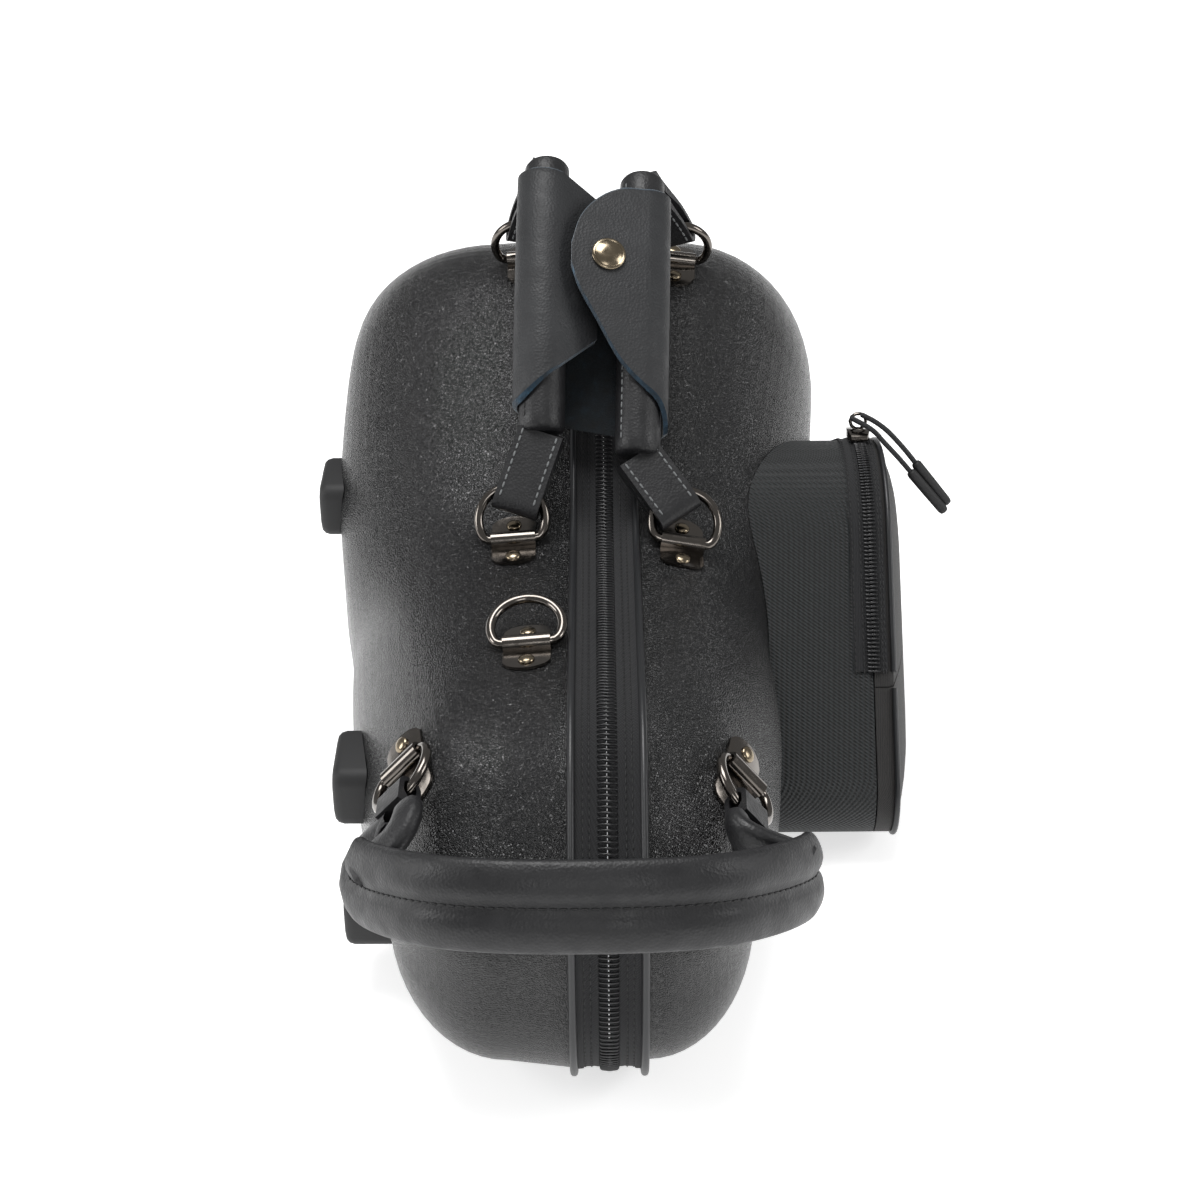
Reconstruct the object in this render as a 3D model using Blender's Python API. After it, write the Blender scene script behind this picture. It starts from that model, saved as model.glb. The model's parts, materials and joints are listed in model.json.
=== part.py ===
"""Contoured alto saxophone case: two moulded shells joined by a long coil zip.

The case stands on its spine with the handles on top. X runs through its thickness (the base
half is at -X, the lid half with its pocket at +X), Y runs along its length (the narrow end is
at -Y) and Z is up. All lengths are in metres.
"""
import math

import bmesh
import bpy
from mathutils import Matrix, Vector
from mathutils.bvhtree import BVHTree

# Clearances shared by all pieces
SEAT_GAP = 0.0003
RUN_GAP = 0.0004
CUT_OVERRUN = 0.02

# Side profile of the case on the plane where its halves part
NOSE_Y = -0.315
BOW_Y = 0.315
SPINE_Z = 0.004
NOSE_TOP_Z = 0.106
SHOULDER_Y = -0.252
SHOULDER_Z = 0.146
WAIST_Y = -0.088
WAIST_Z = 0.1355
BELL_Y = 0.068
BELL_Z = 0.2115
BACK_Y = 0.195
BACK_Z = 0.145
BOW_TOP_Z = 0.109
NOSE_LOW_RADIUS = 0.053
NOSE_TOP_RADIUS = 0.026
SHOULDER_RADIUS = 0.075
WAIST_RADIUS = 0.11
BELL_RADIUS = 0.07
BACK_RADIUS = 0.12
BOW_TOP_RADIUS = 0.035
BOW_LOW_RADIUS = 0.04
ARC_STEP = math.radians(23)
RUN_STEP = 0.06
MEDIAL_INSET = 0.072

# Depth of each half from the parting plane to its outer face, at stations along the length
BASE_DEPTHS = ((-0.315, 0.085), (-0.29, 0.085), (-0.25, 0.0908), (-0.2, 0.101), (-0.15, 0.1073),
               (-0.1, 0.1116), (-0.02, 0.1225), (0.068, 0.1205), (0.2, 0.1076), (0.315, 0.1))
LID_DEPTHS = ((-0.315, 0.0565), (-0.29, 0.0565), (-0.25, 0.06), (-0.2, 0.0705), (-0.15, 0.0725),
              (-0.1, 0.0725), (-0.02, 0.0885), (0.068, 0.1025), (0.2, 0.0915), (0.315, 0.085))

# How far the rounded edge of each outer face reaches across, and down the walls
BASE_EDGE_REACH = ((-0.3, 0.0457), (-0.12, 0.0597), (0.068, 0.0676))
LID_EDGE_REACH = ((-0.315, 0.0405), (-0.25, 0.0445), (-0.12, 0.048), (0.068, 0.0663))
BASE_EDGE_DROP = ((-0.3, 0.0581), (0.068, 0.0529))
LID_EDGE_DROP = ((-0.3, 0.0552), (-0.08, 0.056), (0.068, 0.0741), (0.2, 0.054))
SHELL_WALL = 0.0025
SHELL_DRAFT = 0.003
WALL_SHARES = (0.0, 0.5, 1.0)
CORNER_ANGLES = (22.5, 45, 67.5, 90)
VALLEY_DEPTH = 0.005
VALLEY_WIDTH = 0.026
VALLEY_REACH_Y = -0.2

# Zip band between the rims
RIM_X = 0.0135
TAPE_THICK = 0.0015
TAPE_INSET = 0.0004
COIL_WIDTH = 0.0042
COIL_RISE = 0.0014
PIPING_RADIUS = 0.0015
PIPING_SIDES = 6
LINER_TOP_X = 0.0005
LINER_INSET = 0.0038
LINER_GAP = 0.001

# Wells of the foam liners, as the instrument needs them
WELL_NOSE_Y = -0.268
WELL_BOW_Y = 0.272
WELL_LOW_Z = 0.036
WELL_NOSE_TOP_Z = 0.106
WELL_BOW_TOP_Z = 0.09
WELL_BELL_TOP_Z = 0.172
WELL_BELL_NEAR_Y = 0.028
WELL_BELL_FAR_Y = 0.108
WELL_WAIST_Y = -0.06
WELL_BACK_Y = 0.185
WELL_BACK_Z = 0.122
WELL_RADIUS = 0.022
BASE_WELL_DEPTH = 0.072
LID_WELL_DEPTH = 0.048
BELL_WELL_Y = 0.07
BELL_WELL_Z = 0.115
BELL_WELL_RADIUS = 0.052
BASE_BELL_WELL_DEPTH = 0.095
LID_BELL_WELL_DEPTH = 0.076
WELL_FLOOR_FILLET = 0.01

# Rings, their wire and their riveted clamps
WIRE_RADIUS = 0.002
RING_ARC_RADIUS = 0.0145
RING_BAR_HALF = 0.0117
RING_ARC_STEPS = 10
RING_SIDES = 6
MITRE_SHARE = 0.5
CLAMP_WIDTH = 0.019
CLAMP_REACH = 0.017
CLAMP_PLATE = 0.0012
CLAMP_CORNER = 0.005
HUMP_STEPS = 6
CLAMP_BURY = 0.0008
RIVET_RADIUS = 0.0032
RIVET_RISE = 0.0014
RIVET_PLACE = 0.0112

# Places of the rings: distance from the parting plane, station along the case, lean
NEAR_CLAMP_Y = -0.099
FAR_CLAMP_Y = 0.056
BASE_NEAR_X = 0.039
LID_NEAR_X = 0.033
BASE_FAR_X = 0.035
LID_FAR_X = 0.034
STRAP_CLAMP_Y = -0.191
STRAP_CLAMP_X = 0.031
END_CLAMP_Y = -0.248
BASE_END_X = 0.075
LID_END_X = 0.05
LEAN_SHARE = 0.94
STRAP_LEAN = math.radians(68)
END_LEAN = math.radians(-70)

# Handles: tubes covered in leather, with a long strap loop at each end
GRIP_RADIUS = 0.010
GRIP_SIDES = 12
GRIP_ARCH = 0.006
GRIP_STEPS = 8
GRIP_EASE_SHARE = 0.25
GRIP_END_SHARE = 0.8
BASE_GRIP_START = Vector((-0.027, -0.070, 0.174))
BASE_GRIP_END = Vector((-0.0245, 0.034, 0.2565))
LID_GRIP_START = Vector((0.0145, -0.074, 0.1645))
LID_GRIP_END = Vector((0.0185, 0.034, 0.249))
TAB_WIDTH = 0.02
TAB_PLY = 0.0022
TAB_SLOT = 0.0058
TAB_PAST_WIRE = 0.012
TAB_END_STEPS = 5

# Leather wrap that holds the two tubes together
WRAP_PLY = 0.002
WRAP_CLEAR = 0.0012
WRAP_STEPS = 6
WRAP_START_SHARE = 0.08
WRAP_END_SHARE = 0.97
FLAP_TIP_SHARE = 0.60
SNAP_RADIUS = 0.0075
SNAP_RISE = 0.0026
SNAP_SIDES = 12
SNAP_SHARES = ((0, 1.0), (0.35, 1.0), (0.75, 0.75), (1, 0.3))

# End handle across the narrow end
END_WIDTH = 0.033
END_THICK = 0.011
END_TILT = math.radians(24)
END_FRONT_Y = -0.343
END_STEPS = 3

# Rubber feet
SIDE_FOOT_LONG = 0.036
SIDE_FOOT_HIGH = 0.026
SIDE_FOOT_RISE = 0.0085
SIDE_FOOT_WALL_SHARE = 0.6
SIDE_FOOT_CORNER = 0.006
SIDE_FEET = ((-0.206, 0.09), (-0.01, 0.112), (0.2, 0.09), (-0.215, 0.036), (0.2, 0.036))
SPINE_FOOT_LONG = 0.03
SPINE_FOOT_WIDE = 0.018
SPINE_FOOT_NEAR_Y = -0.215
SPINE_FOOT_FAR_Y = 0.205

# Pocket on the lid's outer face
POCKET_LOW_Z = 0.007
POCKET_TOP_Z = 0.155
POCKET_NEAR_TOP_Y = -0.038
POCKET_NEAR_LOW_Y = -0.178
POCKET_FAR_TOP_Y = 0.165
POCKET_FAR_TOP_Z = 0.0425
POCKET_FAR_LOW_Y = 0.19
POCKET_CORNER = 0.022
POCKET_FAR_CORNER = 0.014
POCKET_CROWN_RADIUS = 0.06
POCKET_SLIDER_LEAN = math.radians(15)
POCKET_RIM_X = 0.127
POCKET_ZIP_X = 0.1175
POCKET_WALL = 0.0022
POCKET_DOME = 0.0115
POCKET_SEAM_Z = 0.072
POCKET_BACK_THICK = 0.0025
POCKET_CHAIN_HALF = 0.0032
POCKET_CHAIN_RISE = 0.0014

# Sliders and pulls
SLIDER_LONG = 0.016
SLIDER_WIDE = 0.013
SLIDER_Z = 0.0535
SLIDER_SHARES = ((-0.5, 0.7), (-0.15, 1.0), (0.5, 1.0))
POCKET_SLIDER_SHARES = ((-0.5, 0.75, 0.6), (-0.2, 1.0, 1.0), (0.5, 1.0, 1.0))
PULLER_LONG = 0.032
PULLER_WIDE = 0.009
PULLER_THICK = 0.0018
POCKET_SLIDER_LONG = 0.012
POCKET_SLIDER_WIDE = 0.010
POCKET_SLIDER_HIGH = 0.0042
CORD_RADIUS = 0.0012
SLEEVE_RADIUS = 0.0024
SLEEVE_LONG = 0.026

# Smaller sizes of single pieces
BASE_VALLEY_X = 0.042
LID_VALLEY_X = 0.030
VALLEY_FADE = 0.045
BELL_WELL_CORNER = 0.03
SPLIT_HALF = 0.0003
HINGE_END_GAP = 0.0006
PROBE_HEIGHT = 0.4
PROBE_RISE = 0.02
TAB_SEWN = 0.007
WRAP_SLOPE = 30
WRAP_INNER_REACH = 0.02
WRAP_INNER_START = 0.34
FLAP_ANGLES = (12, 40, 65, 90)
WRAP_BASE_ANGLES = (60, 90, 120, 150, 180, 210, 240, 270)
WRAP_LID_ANGLES = (270, 300, 330, 360)
FLAP_TIP_LIFT = 0.0032
FLAP_TIP_SHARES = ((0.25, 0.38, 0.15), (0.5, 0.62, 0.35), (0.68, 0.8, 0.62), (0.76, 0.94, 0.9))
SNAP_ALONG_SHARE = 0.62
SNAP_ACROSS_SHARE = 0.62
END_LEFT_X = -0.0915
END_RIGHT_X = 0.0735
END_SIDE_Y = -0.294
END_SIDE_Z = 0.108
END_FRONT_Z = 0.132
END_FLAT_SHARE = 0.62
END_ROUND_SHARE = 0.8
END_LOOP_LONG = 0.009
END_START_LONG = 0.0135
END_LEAD_LONG = 0.019
END_LOOP_WIDTH = 0.013
END_LOOP_PAST = 0.007
END_LOOP_SEWN = 0.003
END_TIP_WIDTH = 0.018
END_TIP_SHARE = 0.14
END_SECTION_SHARES = ((-1, -0.4), (-0.75, -1), (0.75, -1), (1, -0.4), (1, 0.4), (0.8, 1),
                      (0.06, 1), (0, 0.8), (-0.06, 1), (-0.8, 1), (-1, 0.4))
SIDE_FOOT_BURY = 0.03
SIDE_FOOT_CHAMFER = 0.003
BASE_SPINE_FOOT_X = 0.046
LID_SPINE_FOOT_X = 0.030
SPINE_FOOT_BURY = 0.012
SPINE_FOOT_CHAMFER = 0.0015
SPINE_FOOT_CORNER = 0.004
POCKET_RUN = 0.06
POCKET_ROUND = 0.003
POCKET_DOME_SHARES = ((0.2, 0.6), (0.62, 1.0))
POCKET_BURY = 0.004
POCKET_BACK_STEPS = 9
SEAM_REACH = 0.2
SLIDER_ROOF = 0.0014
CROWN_LEG = 0.0014
CROWN_RISE = 0.0052
CROWN_HALF = 0.0052
CROWN_WIDE = 0.0028
PULLER_EYE = 0.008
BAIL_RADIUS = 0.0036
BAIL_WIRE = 0.0009
BAIL_STEPS = 10
BAIL_SIDES = 5
POCKET_BAIL_UP = 0.002
CORD_STEPS = 5
UPPER_TAIL = ((0.0016, -0.0007, 0.0036), (0.0075, -0.006, 0.0024), (0.0135, -0.007, -0.0022),
              (0.0205, -0.008, -0.0098), (0.0262, -0.009, -0.0168))
LOWER_TAIL = ((-0.0032, -0.0012, 0.0022), (0.0055, -0.009, 0.0001), (0.0115, -0.0105, -0.006),
              (0.018, -0.0115, -0.013), (0.0237, -0.0125, -0.0196))
SLEEVE_SHARES = ((0, 0.75), (0.06, 1.0), (0.45, 1.0), (0.85, 0.9), (1, 0.6))
SLEEVE_SIDES = 8

MATERIALS = {
    "shell": ((0.012, 0.012, 0.013), 0.32, 0.0),
    "foam": ((0.02, 0.02, 0.022), 0.95, 0.0),
    "piping": ((0.01, 0.01, 0.011), 0.45, 0.0),
    "tape": ((0.012, 0.012, 0.014), 0.85, 0.0),
    "nickel": ((0.16, 0.155, 0.15), 0.2, 1.0),
    "brass": ((0.3, 0.24, 0.16), 0.3, 1.0),
    "leather": ((0.014, 0.013, 0.012), 0.5, 0.0),
    "rubber": ((0.02, 0.02, 0.02), 0.8, 0.0),
    "nylon": ((0.01, 0.01, 0.011), 0.9, 0.0),
}


def clear_scene():
    """Remove every object of the scene."""
    for item in list(bpy.data.objects):
        bpy.data.objects.remove(item, do_unlink=True)


def make_finish(name):
    """One Principled material of the case."""
    colour, roughness, metallic = MATERIALS[name]
    finish = bpy.data.materials.new(name)
    finish.use_nodes = True
    shader = finish.node_tree.nodes["Principled BSDF"]
    shader.inputs["Base Color"].default_value = (*colour, 1.0)
    shader.inputs["Roughness"].default_value = roughness
    shader.inputs["Metallic"].default_value = metallic
    finish.diffuse_color = (*colour, 1.0)
    return finish


def add_piece(name, mesh_data, finish, smooth_angle=math.radians(40)):
    """Turn a bmesh into a named object, parented to the case frame."""
    caps = [face for face in mesh_data.faces if len(face.verts) > 4]
    bmesh.ops.triangulate(mesh_data, faces=caps)
    bmesh.ops.recalc_face_normals(mesh_data, faces=mesh_data.faces)
    mesh = bpy.data.meshes.new(name)
    mesh_data.to_mesh(mesh)
    mesh_data.free()
    mesh.shade_smooth()
    mesh.set_sharp_from_angle(angle=smooth_angle)
    piece = bpy.data.objects.new(name, mesh)
    piece.parent = bpy.data.objects["case_frame"]
    bpy.context.scene.collection.objects.link(piece)
    if finish not in bpy.data.materials:
        make_finish(finish)
    mesh.materials.append(bpy.data.materials[finish])
    return piece


def add_cutter(name, mesh_data):
    """A guide solid that only cuts others."""
    cutter = add_piece(name, mesh_data, "foam")
    cutter.hide_render = True
    cutter.display_type = "WIRE"
    return cutter


def cut(piece, cutter, operation="DIFFERENCE"):
    """Cut or join a piece with a guide solid."""
    change = piece.modifiers.new(cutter.name, "BOOLEAN")
    change.object = cutter
    change.operation = operation
    change.solver = "EXACT"


def loft(rings, closed=False, split=False):
    """Skin a list of rings of equal count; split quads keep nested skins apart."""
    solid = bmesh.new()
    rows = [[solid.verts.new(point) for point in ring] for ring in rings]
    pairs = list(zip(rows, rows[1:]))
    if closed:
        pairs.append((rows[-1], rows[0]))
    for low, high in pairs:
        for here in range(len(low)):
            there = (here + 1) % len(low)
            if split and abs(low[here].co.x) > abs(high[here].co.x):
                solid.faces.new((low[here], low[there], high[here]))
                solid.faces.new((low[there], high[there], high[here]))
            elif split:
                solid.faces.new((low[here], low[there], high[there]))
                solid.faces.new((low[here], high[there], high[here]))
            else:
                solid.faces.new((low[here], low[there], high[there], high[here]))
    if split:
        strip_cap(solid, rows[0])
        strip_cap(solid, rows[-1])
    elif not closed:
        solid.faces.new(list(reversed(rows[0])))
        solid.faces.new(rows[-1])
    return solid


def strip_cap(solid, row):
    """Close a ring of the rim's count with triangles between its upper and lower sides."""
    count = len(RIM)
    stop = max(range(count), key=lambda index: RIM[index].x)
    low = high = min(range(count), key=lambda index: RIM[index].x)
    while low != stop or high != stop:
        next_low = (low + 1) % count
        next_high = (high - 1) % count
        if high == stop or (low != stop and RIM[next_low].x <= RIM[next_high].x):
            corners = (row[low], row[next_low], row[high])
            low = next_low
        else:
            corners = (row[low], row[next_high], row[high])
            high = next_high
        if len(set(corners)) == len(corners):
            solid.faces.new(corners)


def smooth(share):
    """Ease from 0 to 1, held outside that range."""
    held = min(max(share, 0.0), 1.0)
    return held * held * (3 - 2 * held)


def mix(low, high, share):
    return low + (high - low) * share


def fillet_outline(corners, run=RUN_STEP):
    """Points of a closed outline whose corners (u, v, radius) are rounded with arcs."""
    arcs = []
    for index, (u, v, radius) in enumerate(corners):
        here = Vector((u, v))
        back = (Vector(corners[index - 1][:2]) - here).normalized()
        ahead = (Vector(corners[(index + 1) % len(corners)][:2]) - here).normalized()
        inside = back.angle(ahead)
        centre = here + (back + ahead).normalized() * (radius / math.sin(inside / 2))
        spoke = here + back * (radius / math.tan(inside / 2)) - centre
        turn = math.copysign(math.pi - inside, back.y * ahead.x - back.x * ahead.y)
        steps = max(1, math.ceil(abs(turn) / ARC_STEP))
        for step in range(steps + 1):
            arcs.append(centre + Matrix.Rotation(turn * step / steps, 2) @ spoke)
    points = []
    for here, there in zip(arcs, arcs[1:] + arcs[:1]):
        pieces = max(1, math.ceil((there - here).length / run))
        points += [here.lerp(there, piece / pieces) for piece in range(pieces)]
    return points


def inward_normals(points, closed=True):
    """Unit normals to the left of a path, at its points."""
    normals = []
    last = len(points) - 1
    for index, here in enumerate(points):
        before = points[index - 1] if closed or index else here
        after = points[(index + 1) % len(points)] if closed or index < last else here
        along = (after - before).normalized()
        normals.append(Vector((-along.y, along.x)))
    return normals


def case_outline():
    """The rim's outline on the parting plane, counter-clockwise from the nose."""
    return fillet_outline([
        (NOSE_Y, SPINE_Z, NOSE_LOW_RADIUS),
        (BOW_Y, SPINE_Z, BOW_LOW_RADIUS),
        (BOW_Y, BOW_TOP_Z, BOW_TOP_RADIUS),
        (BACK_Y, BACK_Z, BACK_RADIUS),
        (BELL_Y, BELL_Z, BELL_RADIUS),
        (WAIST_Y, WAIST_Z, WAIST_RADIUS),
        (SHOULDER_Y, SHOULDER_Z, SHOULDER_RADIUS),
        (NOSE_Y, NOSE_TOP_Z, NOSE_TOP_RADIUS),
    ])


def top_height(y):
    """Height of the outline's upper side at a station."""
    height = SPINE_Z
    for here, there in zip(RIM, RIM[1:] + RIM[:1]):
        if here.x != there.x and min(here.x, there.x) <= y <= max(here.x, there.x):
            height = max(height, mix(here.y, there.y, (y - here.x) / (there.x - here.x)))
    return height


def medial_point(point):
    """Point of the middle line that a rim point is drawn towards."""
    y = min(max(point.x, NOSE_Y + MEDIAL_INSET), BOW_Y - MEDIAL_INSET)
    return Vector((y, (SPINE_Z + top_height(y)) / 2))


def eased(table, place):
    """Value of a smooth curve through the table's (place, value) pairs, level outside them."""
    if place <= table[0][0]:
        return table[0][1]
    for index in range(len(table) - 1):
        (low, here), (high, there) = table[index:index + 2]
        if place < high:
            before = table[max(index - 1, 0)]
            after = table[min(index + 2, len(table) - 1)]
            run = high - low
            leave = (there - before[1]) / (high - before[0]) * run
            reach = (after[1] - here) / (after[0] - low) * run
            t = (place - low) / run
            return ((2 * t ** 3 - 3 * t ** 2 + 1) * here + (t ** 3 - 2 * t ** 2 + t) * leave
                    + (3 * t ** 2 - 2 * t ** 3) * there + (t ** 3 - t ** 2) * reach)
    return table[-1][1]


def half_depth(side, y):
    """Depth of one half from the parting plane to its outer face."""
    return eased(BASE_DEPTHS if side < 0 else LID_DEPTHS, y)


def valley_drop(side, point, x):
    """How far the shell dips beside the ridge that the zip runs on, near the narrow end."""
    if point.y < NOSE_TOP_Z - NOSE_TOP_RADIUS or point.x > VALLEY_REACH_Y:
        return 0.0
    valley_x = BASE_VALLEY_X if side < 0 else LID_VALLEY_X
    if x < valley_x:
        across = smooth((x - RIM_X) / (valley_x - RIM_X))
    else:
        across = 1 - smooth((x - valley_x) / VALLEY_WIDTH)
    along = smooth((VALLEY_REACH_Y - point.x) / VALLEY_FADE)
    below = smooth((point.y - NOSE_TOP_Z + NOSE_TOP_RADIUS) / NOSE_TOP_RADIUS)
    return VALLEY_DEPTH * across * along * below


def skin_rings(side, inset, first_share=0.0):
    """Rings of one half's skin, from its rim to the edge of its outer face."""
    columns = []
    for point in RIM:
        depth = half_depth(side, point.x)
        reach = eased(BASE_EDGE_REACH if side < 0 else LID_EDGE_REACH, point.x)
        drop = eased(BASE_EDGE_DROP if side < 0 else LID_EDGE_DROP, point.x)
        places = []
        for share in WALL_SHARES:
            if share >= first_share:
                places.append((mix(RIM_X, depth - reach, share), SHELL_DRAFT * share + inset))
        for angle in CORNER_ANGLES:
            bend = math.radians(angle)
            across = depth - reach + (reach - inset) * math.sin(bend)
            inside = SHELL_DRAFT + drop - (drop - inset) * math.cos(bend)
            places.append((across, inside))
        middle = medial_point(point)
        inwards = (middle - point).normalized()
        column = []
        for x, drop in places:
            place = point + inwards * (drop + valley_drop(side, point, x))
            column.append(Vector((side * x, place.x, place.y)))
        columns.append(column)
    return [list(ring) for ring in zip(*columns)]


def shell_solid(side):
    """One moulded shell: an open bowl of even wall."""
    outer = skin_rings(side, 0.0)
    inner = skin_rings(side, SHELL_WALL)
    return loft(list(reversed(outer)) + inner, split=True)


def pillow_solid(side, grow):
    """The closed outer form of one half, grown a little, to cut what sits on it."""
    rings = skin_rings(side, -grow)
    return loft([[Vector((0.0, p.y, p.z)) for p in rings[0]]] + rings, split=True)


def rim_ring(side, x, inset):
    """The rim outline moved inwards, at a distance from the parting plane."""
    return [Vector((side * x, *(p + n * inset))) for p, n in zip(RIM, RIM_NORMALS)]


def well_cutter(side, corners, depth):
    """A well's space, with a small fillet round its floor."""
    outline = fillet_outline(corners)
    centre = sum(outline, Vector((0, 0))) / len(outline)
    rings = []
    for x, pull in ((-CUT_OVERRUN, 0), (depth - WELL_FLOOR_FILLET, 0), (depth, WELL_FLOOR_FILLET)):
        ring = []
        for point in outline:
            place = point + (centre - point).normalized() * pull
            ring.append(Vector((side * x, *place)))
        rings.append(ring)
    return loft(rings)


def build_liner(side, name, well_depth, bell_depth):
    """A foam liner that fills one shell and holds the instrument in wells."""
    rings = [rim_ring(side, LINER_TOP_X, LINER_INSET), rim_ring(side, RIM_X, LINER_INSET)]
    rings += skin_rings(side, SHELL_WALL + LINER_GAP, first_share=WALL_SHARES[1])
    liner = add_piece(name, loft(rings, split=True), "foam")
    body = well_cutter(side, [
        (WELL_NOSE_Y, WELL_LOW_Z, WELL_RADIUS),
        (WELL_BOW_Y, WELL_LOW_Z, WELL_RADIUS),
        (WELL_BOW_Y, WELL_BOW_TOP_Z, WELL_RADIUS),
        (WELL_BACK_Y, WELL_BACK_Z, WELL_RADIUS),
        (WELL_BELL_FAR_Y, WELL_BELL_TOP_Z, WELL_RADIUS),
        (WELL_BELL_NEAR_Y, WELL_BELL_TOP_Z, WELL_RADIUS),
        (WELL_WAIST_Y, WELL_NOSE_TOP_Z, WELL_RADIUS),
        (WELL_NOSE_Y, WELL_NOSE_TOP_Z, WELL_RADIUS),
    ], well_depth)
    cut(liner, add_cutter(name + "_body_well", body))
    bell = well_cutter(side, [
        (BELL_WELL_Y + BELL_WELL_RADIUS * u, BELL_WELL_Z + BELL_WELL_RADIUS * v, BELL_WELL_CORNER)
        for u, v in ((-1, -1), (1, -1), (1, 1), (-1, 1))
    ], bell_depth)
    cut(liner, add_cutter(name + "_bell_well", bell))


def band_strip(side, path, normals, profile):
    """Sweep a profile of (distance from the parting plane, inset) along part of the rim."""
    return loft([
        [Vector((side * x, *(point + normal * inset))) for x, inset in profile]
        for point, normal in zip(path, normals)
    ])


def zip_path():
    """The rim between the two ends of the spine, over the top, with its normals."""
    spine = [index for index, p in enumerate(RIM) if p.y < SPINE_Z + SEAT_GAP]
    order = list(range(spine[-1], len(RIM))) + list(range(0, spine[0] + 1))
    return [RIM[i] for i in order], [RIM_NORMALS[i] for i in order]


def spine_path():
    """The straight part of the rim along the spine, with its normals."""
    spine = [index for index, p in enumerate(RIM) if p.y < SPINE_Z + SEAT_GAP]
    order = spine[0:1] + spine[-1:]
    path = [RIM[i] for i in order]
    path[0] = path[0] + Vector((HINGE_END_GAP, 0))
    path[1] = path[1] - Vector((HINGE_END_GAP, 0))
    return path, [Vector((0, 1))] * 2


def build_zip_band(side, word):
    """Piping bead, zip tape with its half of the coil, and the spine's fabric hinge."""
    path, normals = zip_path()
    inner = SPLIT_HALF
    outer = RIM_X - SEAT_GAP
    top = TAPE_INSET
    foot = TAPE_INSET + TAPE_THICK
    tape = [
        (inner, top - COIL_RISE), (inner + COIL_WIDTH, top - COIL_RISE),
        (inner + COIL_WIDTH, top), (outer, top), (outer, foot), (inner, foot),
    ]
    add_piece(word + "_zip_tape", band_strip(side, path, normals, tape), "tape")
    bead = []
    for step in range(PIPING_SIDES):
        turn = math.tau * (step + 0.5) / PIPING_SIDES
        bead.append((RIM_X + PIPING_RADIUS * math.cos(turn),
                     -SEAT_GAP - PIPING_RADIUS + PIPING_RADIUS * math.sin(turn)))
    add_piece(word + "_piping", band_strip(side, path, normals, bead), "piping")
    path, normals = spine_path()
    leaf = [(inner, top), (outer, top), (outer, foot), (inner, foot)]
    add_piece(word + "_spine_hinge", band_strip(side, path, normals, leaf), "tape")


class Seat:
    """A place on a shell: origin, direction across (ex), uphill along the case (ev), out (en)."""

    def __init__(self, tree, side, x, y):
        hit, normal, _, _ = tree.ray_cast(Vector((side * x, y, PROBE_HEIGHT)), Vector((0, 0, -1)))
        self.tree = tree
        self.origin = hit
        self.en = normal
        self.ev = (Vector((0, 1, 0)) - normal * normal.y).normalized()
        self.ex = self.ev.cross(self.en)
        reach = RING_BAR_HALF + WIRE_RADIUS * 2
        self.origin = hit + normal * max(0.0, self.rise(-reach, 0), self.rise(reach, 0))

    def place(self, a, b, c):
        return self.origin + self.ex * a + self.ev * b + self.en * c

    def rise(self, a, b):
        """Height of the shell's surface above the seat's own plane."""
        start = self.place(a, b, PROBE_RISE)
        hit = self.tree.ray_cast(start, -self.en)[0]
        return PROBE_RISE - (start - hit).length

    def bar(self):
        """Centre of the ring's bar."""
        return self.place(0, 0, SEAT_GAP + RUN_GAP + WIRE_RADIUS)

    def lean_up(self, lean):
        return self.en * math.cos(lean) + self.ev * math.sin(lean)

    def lean_towards(self, point):
        """Lean of a ring that is pulled towards a point."""
        pull = point - self.bar()
        return math.atan2(pull.dot(self.ev), pull.dot(self.en))

    def hold(self, lean, point):
        """Where a strap pulled towards a point lies on the ring, and the wire's way there."""
        up = self.lean_up(lean)
        facing = self.ex.cross(up)
        centre = self.bar() + up * math.sqrt(RING_ARC_RADIUS ** 2 - RING_BAR_HALF ** 2)
        pull = point - centre
        pull = (pull - facing * pull.dot(facing)).normalized()
        return centre + pull * RING_ARC_RADIUS, facing.cross(pull)

    def ring_top(self, lean):
        reach = math.sqrt(RING_ARC_RADIUS ** 2 - RING_BAR_HALF ** 2) + RING_ARC_RADIUS
        return self.bar() + self.lean_up(lean) * reach


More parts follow.
